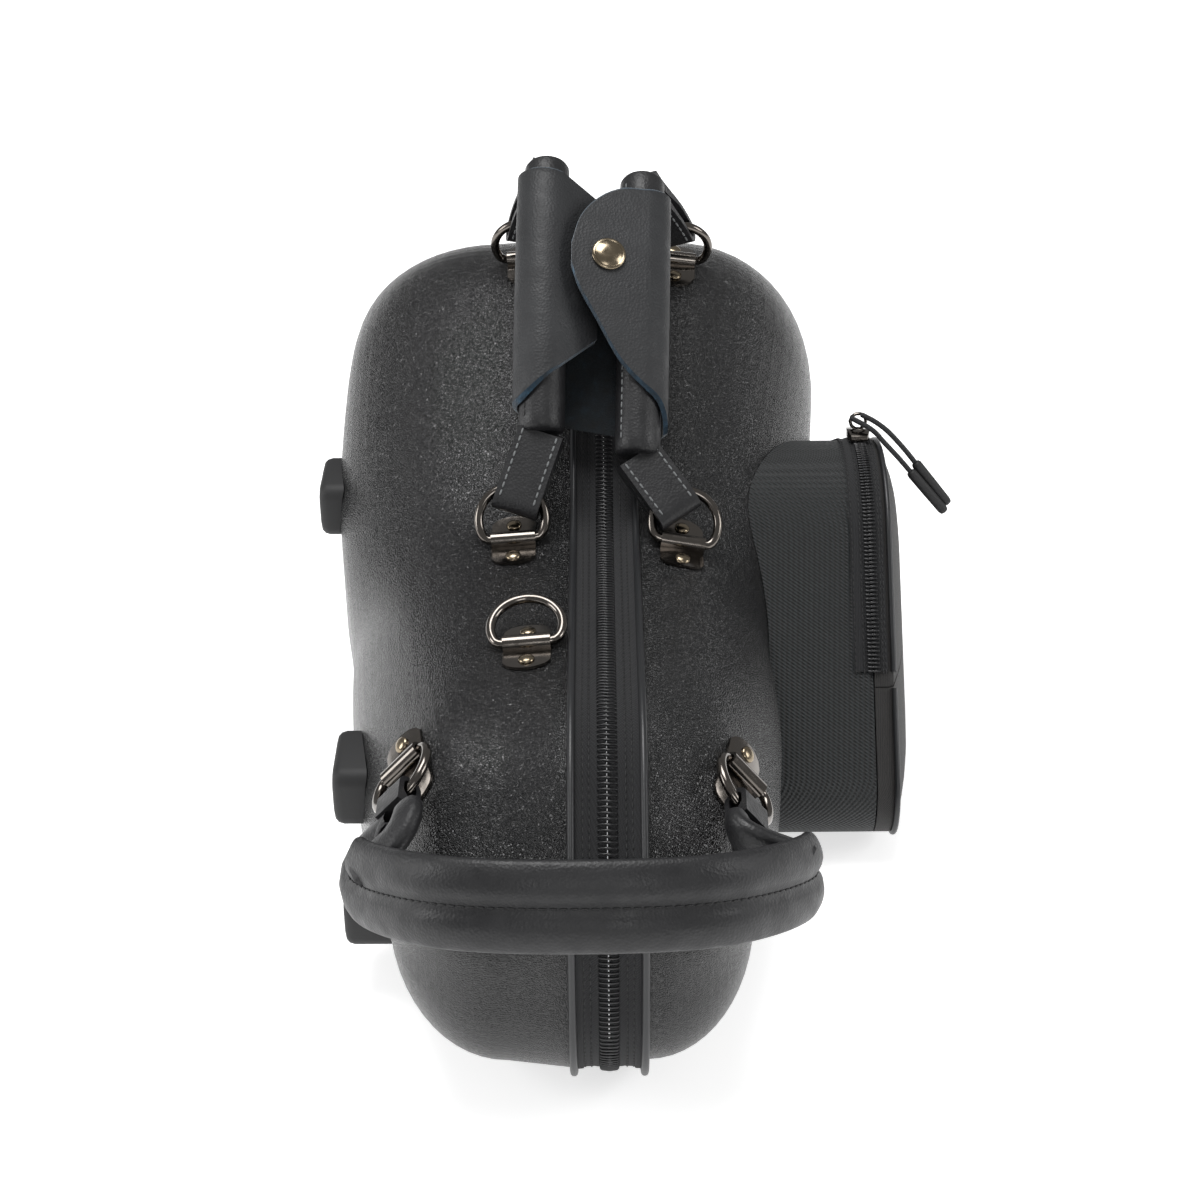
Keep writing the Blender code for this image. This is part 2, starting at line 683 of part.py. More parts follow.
def clamp_solid(seat):
    """A pressed plate, bent to the shell, with a hump over the ring's bar."""
    bar = RUN_GAP + WIRE_RADIUS
    hump_in = WIRE_RADIUS + RUN_GAP
    hump_out = hump_in + CLAMP_PLATE
    under = []
    over = []
    middle = (CLAMP_REACH + hump_out) / 2
    for place in (-CLAMP_REACH, -middle, -hump_out):
        over.append((place, CLAMP_PLATE, place))
        under.append((place if place != -hump_out else -hump_in, -CLAMP_BURY, place))
    for step in range(HUMP_STEPS + 1):
        turn = math.pi * (1 - step / HUMP_STEPS)
        over.append((hump_out * math.cos(turn), bar + hump_out * math.sin(turn), 0.0))
        under.append((hump_in * math.cos(turn), bar + hump_in * math.sin(turn), 0.0))
    for place in (hump_out, middle, CLAMP_REACH):
        over.append((place, CLAMP_PLATE, place))
        under.append((place if place != hump_out else hump_in, -CLAMP_BURY, place))
    sections = []
    for across in (-CLAMP_WIDTH / 2, 0.0, CLAMP_WIDTH / 2):
        section = []
        for along, height, foot in over + list(reversed(under)):
            lift = SEAT_GAP + height + (seat.rise(across, foot) if foot else 0.0)
            section.append(seat.place(across, along, lift))
        sections.append(section)
    solid = loft(sections)
    ends = []
    for edge in solid.edges:
        middle_place = (edge.verts[0].co + edge.verts[1].co) / 2 - seat.origin
        direction = (edge.verts[1].co - edge.verts[0].co).normalized()
        at_end = abs(abs(middle_place.dot(seat.ev)) - CLAMP_REACH) < CLAMP_PLATE
        at_side = abs(abs(middle_place.dot(seat.ex)) - CLAMP_WIDTH / 2) < CLAMP_PLATE
        if at_end and at_side and abs(direction.dot(seat.en)) > math.cos(ARC_STEP * 2):
            ends.append(edge)
    bmesh.ops.bevel(solid, geom=ends, offset=CLAMP_CORNER, segments=2, affect="EDGES",
                    profile=0.5)
    return solid


def tube_rings(path, radii, sides, across):
    """Rings of a tube along a path; across is a direction never parallel to the path."""
    rings = []
    for index, here in enumerate(path):
        before = path[max(index - 1, 0)]
        after = path[min(index + 1, len(path) - 1)]
        along = (after - before).normalized()
        side = (across - along * across.dot(along)).normalized()
        up = along.cross(side)
        rings.append([
            here + side * (radii[index] * math.cos(math.tau * step / sides))
            + up * (radii[index] * math.sin(math.tau * step / sides))
            for step in range(sides)
        ])
    return rings


def ring_solid(seat, lean):
    """A round-backed D ring with its bar in the clamp."""
    up = seat.lean_up(lean)
    facing = seat.ex.cross(up)
    middle = math.sqrt(RING_ARC_RADIUS ** 2 - RING_BAR_HALF ** 2)
    start = -math.atan2(middle, RING_BAR_HALF)
    sweep = math.pi - 2 * start
    points = []
    for step in range(RING_ARC_STEPS + 1):
        turn = start + sweep * step / RING_ARC_STEPS
        points.append((RING_ARC_RADIUS * math.cos(turn), middle + RING_ARC_RADIUS * math.sin(turn)))
    rings = []
    for index, (u, v) in enumerate(points):
        before = Vector(points[index - 1])
        after = Vector(points[(index + 1) % len(points)])
        here = Vector((u, v))
        bisector = ((here - before).normalized() + (after - here).normalized()).normalized()
        out = Vector((bisector.y, -bisector.x))
        stretch = 1 / max(bisector.dot((after - here).normalized()), MITRE_SHARE)
        ring = []
        for side in range(RING_SIDES):
            turn = math.tau * side / RING_SIDES
            flat = here + out * (WIRE_RADIUS * stretch * math.cos(turn))
            depth = WIRE_RADIUS * math.sin(turn)
            ring.append(seat.bar() + seat.ex * flat.x + up * flat.y + facing * depth)
        rings.append(ring)
    return loft(rings, closed=True)


def tab_solid(wire, grip, across, width, past_wire, sewn):
    """A leather strap folded round a ring's wire and sewn to the piece it carries."""
    along = (grip - wire).normalized()
    wide = (across - along * across.dot(along)).normalized()
    thick = along.cross(wide)
    outer_half = TAB_SLOT / 2 + TAB_PLY
    inner_half = TAB_SLOT / 2
    length = (grip - wire).length - SEAT_GAP
    fold = -past_wire + outer_half
    outer = []
    inner = []
    for step in range(TAB_END_STEPS + 1):
        turn = math.pi / 2 + math.pi * step / TAB_END_STEPS
        outer.append((fold + outer_half * math.cos(turn), outer_half * math.sin(turn)))
        inner.append((fold + inner_half * math.cos(turn), inner_half * math.sin(turn)))
    outer += [(length, -outer_half), (length, outer_half)]
    slot_end = length - sewn
    inner += [(slot_end, -inner_half), (slot_end, inner_half)]
    return slotted_plate(outer, inner, wire, along, thick, wide, width)


def slotted_plate(outer, inner, origin, axis_u, axis_v, axis_w, width):
    """A plate with one hole; its outer and inner outlines have as many points."""
    rings = []
    for outline, w in ((outer, -width / 2), (outer, width / 2),
                       (inner, width / 2), (inner, -width / 2)):
        rings.append([origin + axis_u * u + axis_v * v + axis_w * w for u, v in outline])
    return loft(rings, closed=True)


def grip_path(start, end):
    """Centre line of a tube, slightly arched."""
    chord = end - start
    up = Vector((1, 0, 0)).cross(chord).normalized()
    return [
        start.lerp(end, step / GRIP_STEPS) + up * (GRIP_ARCH * math.sin(math.pi * step / GRIP_STEPS))
        for step in range(GRIP_STEPS + 1)
    ]


def grip_solid(start, end, longer=0.0, wider=0.0):
    """A leather-covered tube with rounded ends, or a larger form to cut with."""
    path = grip_path(start, end)
    path[0] = path[0] + (path[0] - path[1]).normalized() * longer
    path[-1] = path[-1] + (path[-1] - path[-2]).normalized() * longer
    ease = GRIP_RADIUS * GRIP_EASE_SHARE
    first = path[0] + (path[1] - path[0]).normalized() * ease
    last = path[-1] + (path[-2] - path[-1]).normalized() * ease
    path = [path[0], first] + path[1:-1] + [last, path[-1]]
    radii = [GRIP_RADIUS + wider] * len(path)
    radii[0] = radii[-1] = GRIP_RADIUS * GRIP_END_SHARE + wider
    return loft(tube_rings(path, radii, GRIP_SIDES, Vector((1, 0, 0))))


def wrap_frame(share):
    """Centres of the two tubes at a share of their length, and the directions between them."""
    base = BASE_GRIP_START.lerp(BASE_GRIP_END, share)
    lid = LID_GRIP_START.lerp(LID_GRIP_END, share)
    arch = GRIP_ARCH * math.sin(math.pi * share)
    chord = BASE_GRIP_END - BASE_GRIP_START
    up = Vector((1, 0, 0)).cross(chord).normalized()
    base = base + up * arch
    lid = lid + up * arch
    across = (lid - base).normalized()
    lift = (up - across * up.dot(across)).normalized()
    return base, across, lift, (lid - base).length


def sheet_solid(columns):
    """A leather sheet: each column holds (outer points, inner points) along the tubes."""
    solid = bmesh.new()
    outer = [[solid.verts.new(p) for p in column[0]] for column in columns]
    inner = [[solid.verts.new(p) for p in column[1]] for column in columns]
    last = len(columns) - 1
    rows = len(outer[0]) - 1
    for c in range(last):
        for r in range(rows):
            solid.faces.new((outer[c][r], outer[c][r + 1], outer[c + 1][r + 1], outer[c + 1][r]))
            solid.faces.new((inner[c][r], inner[c + 1][r], inner[c + 1][r + 1], inner[c][r + 1]))
        solid.faces.new((outer[c][0], outer[c + 1][0], inner[c + 1][0], inner[c][0]))
        solid.faces.new((outer[c][rows], inner[c][rows], inner[c + 1][rows], outer[c + 1][rows]))
    for r in range(rows):
        solid.faces.new((outer[0][r], inner[0][r], inner[0][r + 1], outer[0][r + 1]))
        solid.faces.new((outer[last][r], outer[last][r + 1], inner[last][r + 1], inner[last][r]))
    return solid


def wrapped_sheet(places):
    """Leather round the tubes; each place is (lane, outwards, start share, end share)."""
    columns = []
    for lane, outwards, start, end in places:
        outer = []
        inner = []
        for step in range(WRAP_STEPS + 1):
            base, across, lift, gap = wrap_frame(mix(start, end, step / WRAP_STEPS))
            u, v = lane(gap)
            out = across * outwards[0] + lift * outwards[1]
            middle = base + across * u + lift * v
            outer.append(middle + out * (WRAP_PLY / 2))
            inner.append(middle - out * (WRAP_PLY / 2))
        columns.append((outer, inner))
    return sheet_solid(columns)


def turned(angle, on_lid, radius):
    """A lane on the arc round one tube, and its outward direction."""
    cosine = math.cos(math.radians(angle))
    sine = math.sin(math.radians(angle))
    return (lambda gap: (gap * on_lid + radius * cosine, radius * sine)), (cosine, sine)


def wrap_solid():
    """The wrap's body: over the base tube, under both and up round the lid tube."""
    radius = GRIP_RADIUS + WRAP_CLEAR + WRAP_PLY / 2
    places = []
    slope = math.radians(WRAP_SLOPE)
    reach = WRAP_INNER_REACH
    for share in (1.0, 0.5):
        places.append((
            lambda gap, share=share: (
                radius * math.sin(slope) + reach * share * math.cos(slope),
                radius * math.cos(slope) - reach * share * math.sin(slope)),
            (math.sin(slope), math.cos(slope)),
            mix(WRAP_START_SHARE, WRAP_INNER_START, share), WRAP_END_SHARE))
    for angle in WRAP_BASE_ANGLES:
        lane, out = turned(angle, 0, radius)
        places.append((lane, out, WRAP_START_SHARE, WRAP_END_SHARE))
    for angle in WRAP_LID_ANGLES:
        lane, out = turned(angle, 1, radius)
        places.append((lane, out, WRAP_START_SHARE, WRAP_END_SHARE))
    return wrapped_sheet(places)


def flap_solid():
    """The wrap's flap: over the lid tube and across to a rounded tip above the base tube."""
    radius = GRIP_RADIUS + WRAP_CLEAR + WRAP_PLY / 2
    places = []
    for angle in FLAP_ANGLES:
        lane, out = turned(angle, 1, radius)
        share = angle / 360
        places.append((lane, out, mix(WRAP_START_SHARE, FLAP_TIP_SHARE, share),
                       mix(WRAP_END_SHARE, FLAP_TIP_SHARE, share / 2)))
    for share, low, high in FLAP_TIP_SHARES:
        places.append((
            lambda gap, share=share: (
                gap * (1 - share), radius + FLAP_TIP_LIFT * share),
            (0.0, 1.0),
            mix(WRAP_START_SHARE, FLAP_TIP_SHARE, low), mix(WRAP_END_SHARE, FLAP_TIP_SHARE, high)))
    return wrapped_sheet(places)


def dome_solid(centre, up, across, radius, rise, sides, shares):
    """A low turned dome."""
    side = (across - up * across.dot(up)).normalized()
    other = up.cross(side)
    rings = []
    for height, share in shares:
        rings.append([
            centre + up * (rise * height)
            + side * (radius * share * math.cos(math.tau * step / sides))
            + other * (radius * share * math.sin(math.tau * step / sides))
            for step in range(sides)
        ])
    return loft(rings)


def spline_points(points, per_run):
    """Points of a smooth curve through the given ones (Catmull-Rom)."""
    result = []
    for index in range(len(points) - 1):
        p0 = points[max(index - 1, 0)]
        p1 = points[index]
        p2 = points[index + 1]
        p3 = points[min(index + 2, len(points) - 1)]
        for step in range(per_run):
            t = step / per_run
            result.append((p1 * 2 + (p2 - p0) * t + (p0 * 2 - p1 * 5 + p2 * 4 - p3) * t ** 2
                           + (p1 * 3 - p0 - p2 * 3 + p3) * t ** 3) / 2)
    result.append(points[-1])
    return result


def end_handle_path(base_end, lid_end):
    """Centre line of the strap across the narrow end, from loop to loop."""
    middle = (END_LEFT_X + END_RIGHT_X) / 2
    half = (END_RIGHT_X - END_LEFT_X) / 2
    return spline_points([
        *base_end,
        Vector((END_LEFT_X, END_SIDE_Y, END_SIDE_Z)),
        Vector((middle - half * END_FLAT_SHARE, mix(END_SIDE_Y, END_FRONT_Y, END_ROUND_SHARE),
                mix(END_SIDE_Z, END_FRONT_Z, END_ROUND_SHARE))),
        Vector((middle, END_FRONT_Y, END_FRONT_Z)),
        Vector((middle + half * END_FLAT_SHARE, mix(END_SIDE_Y, END_FRONT_Y, END_ROUND_SHARE),
                mix(END_SIDE_Z, END_FRONT_Z, END_ROUND_SHARE))),
        Vector((END_RIGHT_X, END_SIDE_Y, END_SIDE_Z)),
        *reversed(lid_end),
    ], END_STEPS)


def strap_solid(path):
    """A padded strap of rounded section, its outer face turned a little upwards."""
    rings = []
    for index, here in enumerate(path):
        before = path[max(index - 1, 0)]
        after = path[min(index + 1, len(path) - 1)]
        along = (after - before).normalized()
        out = Vector((along.y, -along.x, 0)).normalized()
        share = min(index, len(path) - 1 - index) / (len(path) - 1)
        width = mix(END_TIP_WIDTH, END_WIDTH, smooth(share / END_TIP_SHARE))
        tilt = END_TILT * smooth(share / END_TIP_SHARE / 2)
        face = (out * math.cos(tilt) + Vector((0, 0, math.sin(tilt)))).normalized()
        wide = along.cross(face)
        ring = []
        for u, v in END_SECTION_SHARES:
            ring.append(here + wide * (width / 2 * u) + face * (END_THICK / 2 * v))
        rings.append(ring)
    return loft(rings)


def foot_block(y, z, side, rise):
    """A rubber block on a shell's outer face, before its back is cut to the shell."""
    depth = half_depth(side, y)
    rings = []
    for x, shrink in ((depth - SIDE_FOOT_BURY, 0), (depth + rise * SIDE_FOOT_WALL_SHARE, 0), (depth + rise, 1)):
        outline = fillet_outline([
            (y + u * (SIDE_FOOT_LONG / 2 - SIDE_FOOT_CHAMFER * shrink),
             z + v * (SIDE_FOOT_HIGH / 2 - SIDE_FOOT_CHAMFER * shrink), SIDE_FOOT_CORNER)
            for u, v in ((-1, -1), (1, -1), (1, 1), (-1, 1))
        ])
        rings.append([Vector((side * x, *point)) for point in outline])
    return rings


def build_feet(cutters):
    """Feet under the spine, on both halves, and on the base's outer face."""
    for number, (y, z) in enumerate(SIDE_FEET, 1):
        foot = add_piece(f"side_foot_{number}", loft(foot_block(y, z, -1, SIDE_FOOT_RISE)), "rubber")
        cut(foot, cutters[-1])
    for side, word, x in ((-1, "base", BASE_SPINE_FOOT_X), (1, "lid", LID_SPINE_FOOT_X)):
        for end, y in (("near", SPINE_FOOT_NEAR_Y), ("far", SPINE_FOOT_FAR_Y)):
            rings = []
            for z, shrink in ((SPINE_Z + SPINE_FOOT_BURY, 0), (SPINE_FOOT_CHAMFER, 0), (0, 1)):
                outline = fillet_outline([
                    (side * x + u * (SPINE_FOOT_WIDE / 2 - SPINE_FOOT_CHAMFER * shrink),
                     y + v * (SPINE_FOOT_LONG / 2 - SPINE_FOOT_CHAMFER * shrink),
                     SPINE_FOOT_CORNER)
                    for u, v in ((-1, -1), (1, -1), (1, 1), (-1, 1))
                ])
                rings.append([Vector((*point, z)) for point in outline])
            cut(add_piece(f"{word}_spine_foot_{end}", loft(rings), "rubber"), cutters[side])


def pocket_outline():
    return fillet_outline([
        (POCKET_NEAR_LOW_Y, POCKET_LOW_Z, POCKET_CORNER),
        (POCKET_FAR_LOW_Y, POCKET_LOW_Z, POCKET_FAR_CORNER),
        (POCKET_FAR_TOP_Y, POCKET_FAR_TOP_Z, POCKET_FAR_CORNER),
        (POCKET_NEAR_TOP_Y, POCKET_TOP_Z, POCKET_CROWN_RADIUS),
    ], run=POCKET_RUN)


def crown_centre():
    """Centre of the arc that the pocket's zip runs over at its top."""
    here = Vector((POCKET_NEAR_TOP_Y, POCKET_TOP_Z))
    down = (Vector((POCKET_NEAR_LOW_Y, POCKET_LOW_Z)) - here).normalized()
    back = (Vector((POCKET_FAR_TOP_Y, POCKET_FAR_TOP_Z)) - here).normalized()
    reach = POCKET_CROWN_RADIUS / math.sin(down.angle(back) / 2)
    return here + (down + back).normalized() * reach


def shrunk(outline, inset, share=0.0):
    """An outline drawn in by a length, and by a share of the way to its middle."""
    normals = inward_normals(outline)
    centre = sum(outline, Vector((0, 0))) / len(outline)
    return [(p + n * inset).lerp(centre, share) for p, n in zip(outline, normals)]


def pocket_tray():
    """The pocket's whole front: a short rim and a domed panel, hollow behind."""
    outline = pocket_outline()
    start = POCKET_ZIP_X + SPLIT_HALF
    levels = [(start, 0, 0), (POCKET_RIM_X - POCKET_ROUND, 0, 0),
              (POCKET_RIM_X, POCKET_ROUND, 0)]
    for share, height in POCKET_DOME_SHARES:
        levels.append((POCKET_RIM_X + POCKET_DOME * height, POCKET_ROUND, share))
    outer = [[Vector((x, *p)) for p in shrunk(outline, inset, share)]
             for x, inset, share in levels]
    inner = [[Vector((x - (POCKET_WALL if index else 0), *p))
              for p in shrunk(outline, inset + POCKET_WALL, share)]
             for index, (x, inset, share) in enumerate(levels)]
    return loft(list(reversed(outer)) + inner)


def box_solid(low, high):
    box = bmesh.new()
    bmesh.ops.create_cube(box, size=1)
    for corner in box.verts:
        corner.co = Vector([mix(a, b, c + 0.5) for a, b, c in zip(low, high, corner.co)])
    return box


def build_pocket(cutters):
    """Back panel, gusset, fixed lower front, zipped flap and the zip's two tapes."""
    outline = pocket_outline()
    normals = inward_normals(outline)
    far = POCKET_ZIP_X - SPLIT_HALF
    gusset = []
    for x, inset in ((0, 0), (far, 0), (far, POCKET_WALL), (0, POCKET_WALL)):
        ring = []
        for point, normal in zip(outline, normals):
            near = half_depth(1, point.x) - POCKET_BURY
            ring.append(Vector((x or near, *(point + normal * inset))))
        gusset.append(ring)
    piece = add_piece("pocket_gusset", loft(gusset, closed=True), "nylon")
    cut(piece, cutters[1])
    inside = shrunk(outline, POCKET_WALL + SEAT_GAP)
    stations = [mix(min(p.x for p in inside), max(p.x for p in inside), step / POCKET_BACK_STEPS)
                for step in range(POCKET_BACK_STEPS + 1)]
    stations[0] += POCKET_WALL
    stations[-1] -= POCKET_WALL
    rings = []
    for y in stations:
        crossing = []
        for here, there in zip(inside, inside[1:] + inside[:1]):
            if here.x != there.x and min(here.x, there.x) <= y <= max(here.x, there.x):
                crossing.append(mix(here.y, there.y, (y - here.x) / (there.x - here.x)))
        low, high = min(crossing), max(crossing)
        front = half_depth(1, y) + POCKET_BACK_THICK
        back = half_depth(1, y) - POCKET_BURY
        rings.append([Vector(p) for p in ((back, y, low), (front, y, low),
                                          (front, y, high), (back, y, high))])
    piece = add_piece("pocket_back", loft(rings), "nylon")
    cut(piece, cutters[1])
    reach = SEAM_REACH
    low = box_solid((0, -reach * 2, -reach), (reach, reach * 2, POCKET_SEAM_Z + SPLIT_HALF))
    high = box_solid((0, -reach * 2, POCKET_SEAM_Z - SPLIT_HALF), (reach, reach * 2, reach * 2))
    cut(add_piece("pocket_flap", pocket_tray(), "nylon"), add_cutter("below_seam", low))
    cut(add_piece("pocket_lower_front", pocket_tray(), "nylon"), add_cutter("above_seam", high))
    seam = POCKET_SEAM_Z + POCKET_CHAIN_HALF
    run = [index for index, point in enumerate(outline) if point.y > seam]
    path = [outline[index] for index in run]
    normal = [normals[index] for index in run]
    for name, near, wide in (("pocket_zip_fixed", POCKET_ZIP_X - POCKET_CHAIN_HALF, far),
                             ("pocket_zip_flap", POCKET_ZIP_X + SPLIT_HALF,
                              POCKET_ZIP_X + POCKET_CHAIN_HALF)):
        profile = [(near, -SEAT_GAP - POCKET_CHAIN_RISE), (wide, -SEAT_GAP - POCKET_CHAIN_RISE),
                   (wide, -SEAT_GAP), (near, -SEAT_GAP)]
        add_piece(name, band_strip(1, path, normal, profile), "tape")


def build_main_slider():
    """Slider on the main zip at the bow end, with its hanging puller."""
    roof = TAPE_INSET - COIL_RISE - RUN_GAP
    skirt = TAPE_INSET - RUN_GAP
    channel = SPLIT_HALF + COIL_WIDTH + RUN_GAP
    half = SLIDER_WIDE / 2
    profile = [(-half, skirt), (-half, roof - SLIDER_ROOF), (half, roof - SLIDER_ROOF),
               (half, skirt), (channel, skirt), (channel, roof), (-channel, roof),
               (-channel, skirt)]
    rings = []
    for share, pull in SLIDER_SHARES:
        z = SLIDER_Z + SLIDER_LONG * share
        ring = []
        for x, inset in profile:
            wide = x if abs(x) < half else math.copysign(mix(channel, half, pull), x)
            ring.append(Vector((wide, BOW_Y - inset, z)))
        rings.append(ring)
    slider = add_piece("main_slider", loft(rings), "nickel")
    top = BOW_Y - roof + SLIDER_ROOF
    leg = CROWN_LEG
    out = top + CROWN_RISE
    crown = [(-CROWN_HALF, top - leg / 2), (CROWN_HALF, top - leg / 2), (CROWN_HALF, out),
             (-CROWN_HALF, out)]
    hole = [(-CROWN_HALF + leg, top), (CROWN_HALF - leg, top),
            (CROWN_HALF - leg, out - leg), (-CROWN_HALF + leg, out - leg)]
    origin = Vector((0, 0, SLIDER_Z))
    bail = slotted_plate(crown, hole, origin, Vector((0, 0, 1)), Vector((0, 1, 0)),
                         Vector((1, 0, 0)), CROWN_WIDE)
    cut(slider, add_cutter("slider_crown", bail), "UNION")
    pin = (top + out - leg) / 2
    half = PULLER_WIDE / 2
    eye = CROWN_WIDE / 2 + RUN_GAP * 2
    bar = PULLER_THICK / 2
    outer = [(-half, bar), (half, bar), (half, -PULLER_LONG + half), (half / 2, -PULLER_LONG),
             (-half / 2, -PULLER_LONG), (-half, -PULLER_LONG + half)]
    inner = [(-eye, -bar), (eye, -bar), (eye, -PULLER_EYE), (eye / 2, -PULLER_EYE - bar / 2),
             (-eye / 2, -PULLER_EYE - bar / 2), (-eye, -PULLER_EYE)]
    origin = Vector((0, pin, SLIDER_Z))
    plate = slotted_plate(outer, inner, origin, Vector((1, 0, 0)), Vector((0, 0, 1)),
                          Vector((0, 1, 0)), PULLER_THICK)
    add_piece("main_puller", plate, "nickel")


def build_pocket_slider():
    """Slider on the crown of the pocket's zip, and the place of its bail."""
    out = Vector((math.sin(POCKET_SLIDER_LEAN), math.cos(POCKET_SLIDER_LEAN)))
    up = Vector((out.y, -out.x))
    rise = POCKET_CROWN_RADIUS + SEAT_GAP + POCKET_CHAIN_RISE + RUN_GAP
    origin = Vector((POCKET_ZIP_X, *(crown_centre() + out * rise)))
    along = Vector((0, *up))
    outwards = Vector((0, *out))
    across = Vector((1, 0, 0))
    rings = []
    for share, pull, high_share in POCKET_SLIDER_SHARES:
        half = POCKET_SLIDER_WIDE / 2 * pull
        rise = POCKET_SLIDER_HIGH * high_share
        rings.append([origin + along * (POCKET_SLIDER_LONG * share) + across * u + outwards * v
                      for u, v in ((-half, 0), (half, 0), (half, rise), (-half, rise))])
    slider = add_piece("pocket_slider", loft(rings), "nickel")
    eye = origin + outwards * (POCKET_SLIDER_HIGH + BAIL_RADIUS) + along * POCKET_BAIL_UP
    ring = []
    for step in range(BAIL_STEPS):
        turn = math.tau * step / BAIL_STEPS
        ring.append(eye + across * (BAIL_RADIUS * math.cos(turn))
                    + outwards * (BAIL_RADIUS * math.sin(turn)))
    rings = []
    for step, here in enumerate(ring):
        spoke = (here - eye).normalized()
        rings.append([here + spoke * (BAIL_WIRE * math.cos(math.tau * side / BAIL_SIDES))
                      + along * (BAIL_WIRE * math.sin(math.tau * side / BAIL_SIDES))
                      for side in range(BAIL_SIDES)])
    cut(slider, add_cutter("slider_bail", loft(rings, closed=True)), "UNION")
    return eye, along


def add_cord(name, points, finish="tape"):
    """A thin cord as a curve with a round bevel and filled ends."""
    curve = bpy.data.curves.new(name, "CURVE")
    curve.dimensions = "3D"
    curve.bevel_depth = CORD_RADIUS
    curve.bevel_resolution = 1
    curve.use_fill_caps = True
    line = curve.splines.new("POLY")
    line.points.add(len(points) - 1)
    for spot, place in zip(line.points, points):
        spot.co = (*place, 1.0)
    piece = bpy.data.objects.new(name, curve)
    piece.parent = bpy.data.objects["case_frame"]
    bpy.context.scene.collection.objects.link(piece)
    if finish not in bpy.data.materials:
        make_finish(finish)
    curve.materials.append(bpy.data.materials[finish])
    return piece


def build_pull_cord(eye):
    """Two tails of cord from the pocket slider's bail, each ending in a moulded sleeve."""
    for word, route in (("upper", UPPER_TAIL), ("lower", LOWER_TAIL)):
        points = [eye + Vector(offset) for offset in route]
        curve = spline_points(points, CORD_STEPS)
        add_cord("pull_cord_" + word, curve)
        end = curve[-1]
        along = (curve[-1] - curve[-2]).normalized()
        rings = []
        for share, radius in SLEEVE_SHARES:
            here = end + along * (SEAT_GAP + SLEEVE_LONG * share)
            side = along.cross(Vector((0, 0, 1))).normalized()
            up = side.cross(along)
            rings.append([here + (side * math.cos(math.tau * step / SLEEVE_SIDES)
                                  + up * math.sin(math.tau * step / SLEEVE_SIDES))
                          * (SLEEVE_RADIUS * radius) for step in range(SLEEVE_SIDES)])
        add_piece("pull_sleeve_" + word, loft(rings), "rubber")


def build_rings(trees, cutters):
    """Clamps, rivets and D rings, each ring a piece that swings on its bar."""
    places = {
        "base_near": (-1, BASE_NEAR_X, NEAR_CLAMP_Y, BASE_GRIP_START),
        "base_far": (-1, BASE_FAR_X, FAR_CLAMP_Y, BASE_GRIP_END),
        "strap": (-1, STRAP_CLAMP_X, STRAP_CLAMP_Y, None),
        "base_end": (-1, BASE_END_X, END_CLAMP_Y, None),
        "lid_near": (1, LID_NEAR_X, NEAR_CLAMP_Y, LID_GRIP_START),
        "lid_far": (1, LID_FAR_X, FAR_CLAMP_Y, LID_GRIP_END),
        "lid_end": (1, LID_END_X, END_CLAMP_Y, None),
    }
    seats = {}
    for word, (side, x, y, pulled_to) in places.items():
        seat = Seat(trees[side], side, x, y)
        lean = seat.lean_towards(pulled_to) * LEAN_SHARE if pulled_to else END_LEAN
        if word == "strap":
            lean = STRAP_LEAN
        seats[word] = (seat, lean)
    for word, (seat, lean) in seats.items():
        clamp = add_piece(word + "_clamp", clamp_solid(seat), "nickel")
        cut(clamp, cutters[1 if word.startswith("lid") else -1])
        add_piece(word + "_ring", ring_solid(seat, lean), "nickel")
    return seats


def build_handles(seats):
    """Two tubes with their strap loops, and the wrap that holds them together."""
    tab = (TAB_WIDTH, TAB_PAST_WIRE, TAB_SEWN)
    for word, start, end in (("base", BASE_GRIP_START, BASE_GRIP_END),
                             ("lid", LID_GRIP_START, LID_GRIP_END)):
        add_piece(word + "_grip", grip_solid(start, end), "leather")
        form = add_cutter(word + "_grip_form", grip_solid(start, end, SEAT_GAP, TAB_WIDTH / 2))
        for place, point in (("near", start), ("far", end)):
            seat, lean = seats[word + "_" + place]
            wire, across = seat.hold(lean, point)
            strap = tab_solid(wire, point, across, *tab)
            cut(add_piece(word + "_" + place + "_tab", strap, "leather"), form)
    add_piece("handle_wrap", wrap_solid(), "leather")
    add_piece("wrap_flap", flap_solid(), "leather")
    base, across, lift, gap = wrap_frame(SNAP_ALONG_SHARE)
    radius = GRIP_RADIUS + WRAP_CLEAR + WRAP_PLY
    place = base + across * (gap * SNAP_ACROSS_SHARE)
    top = radius + FLAP_TIP_LIFT * (1 - SNAP_ACROSS_SHARE) + SEAT_GAP * 2
    up = (lift + across * (FLAP_TIP_LIFT / gap)).normalized()
    cap = dome_solid(place + lift * top, up, across, SNAP_RADIUS, SNAP_RISE, SNAP_SIDES,
                     SNAP_SHARES)
    add_piece("snap_cap", cap, "brass")
    ends = []
    for word in ("base", "lid"):
        seat, lean = seats[word + "_end"]
        wire = seat.ring_top(lean)
        reaches = (END_LOOP_LONG, END_START_LONG, END_LEAD_LONG)
        ends.append((word, seat, wire, [wire + seat.lean_up(lean) * reach for reach in reaches]))
    path = end_handle_path(ends[0][-1][1:], ends[1][-1][1:])
    add_piece("end_handle", strap_solid(path), "leather")
    loop = (END_LOOP_WIDTH, END_LOOP_PAST, END_LOOP_SEWN)
    for word, seat, wire, starts in ends:
        add_piece(word + "_end_loop", tab_solid(wire, starts[0], seat.ex, *loop), "leather")


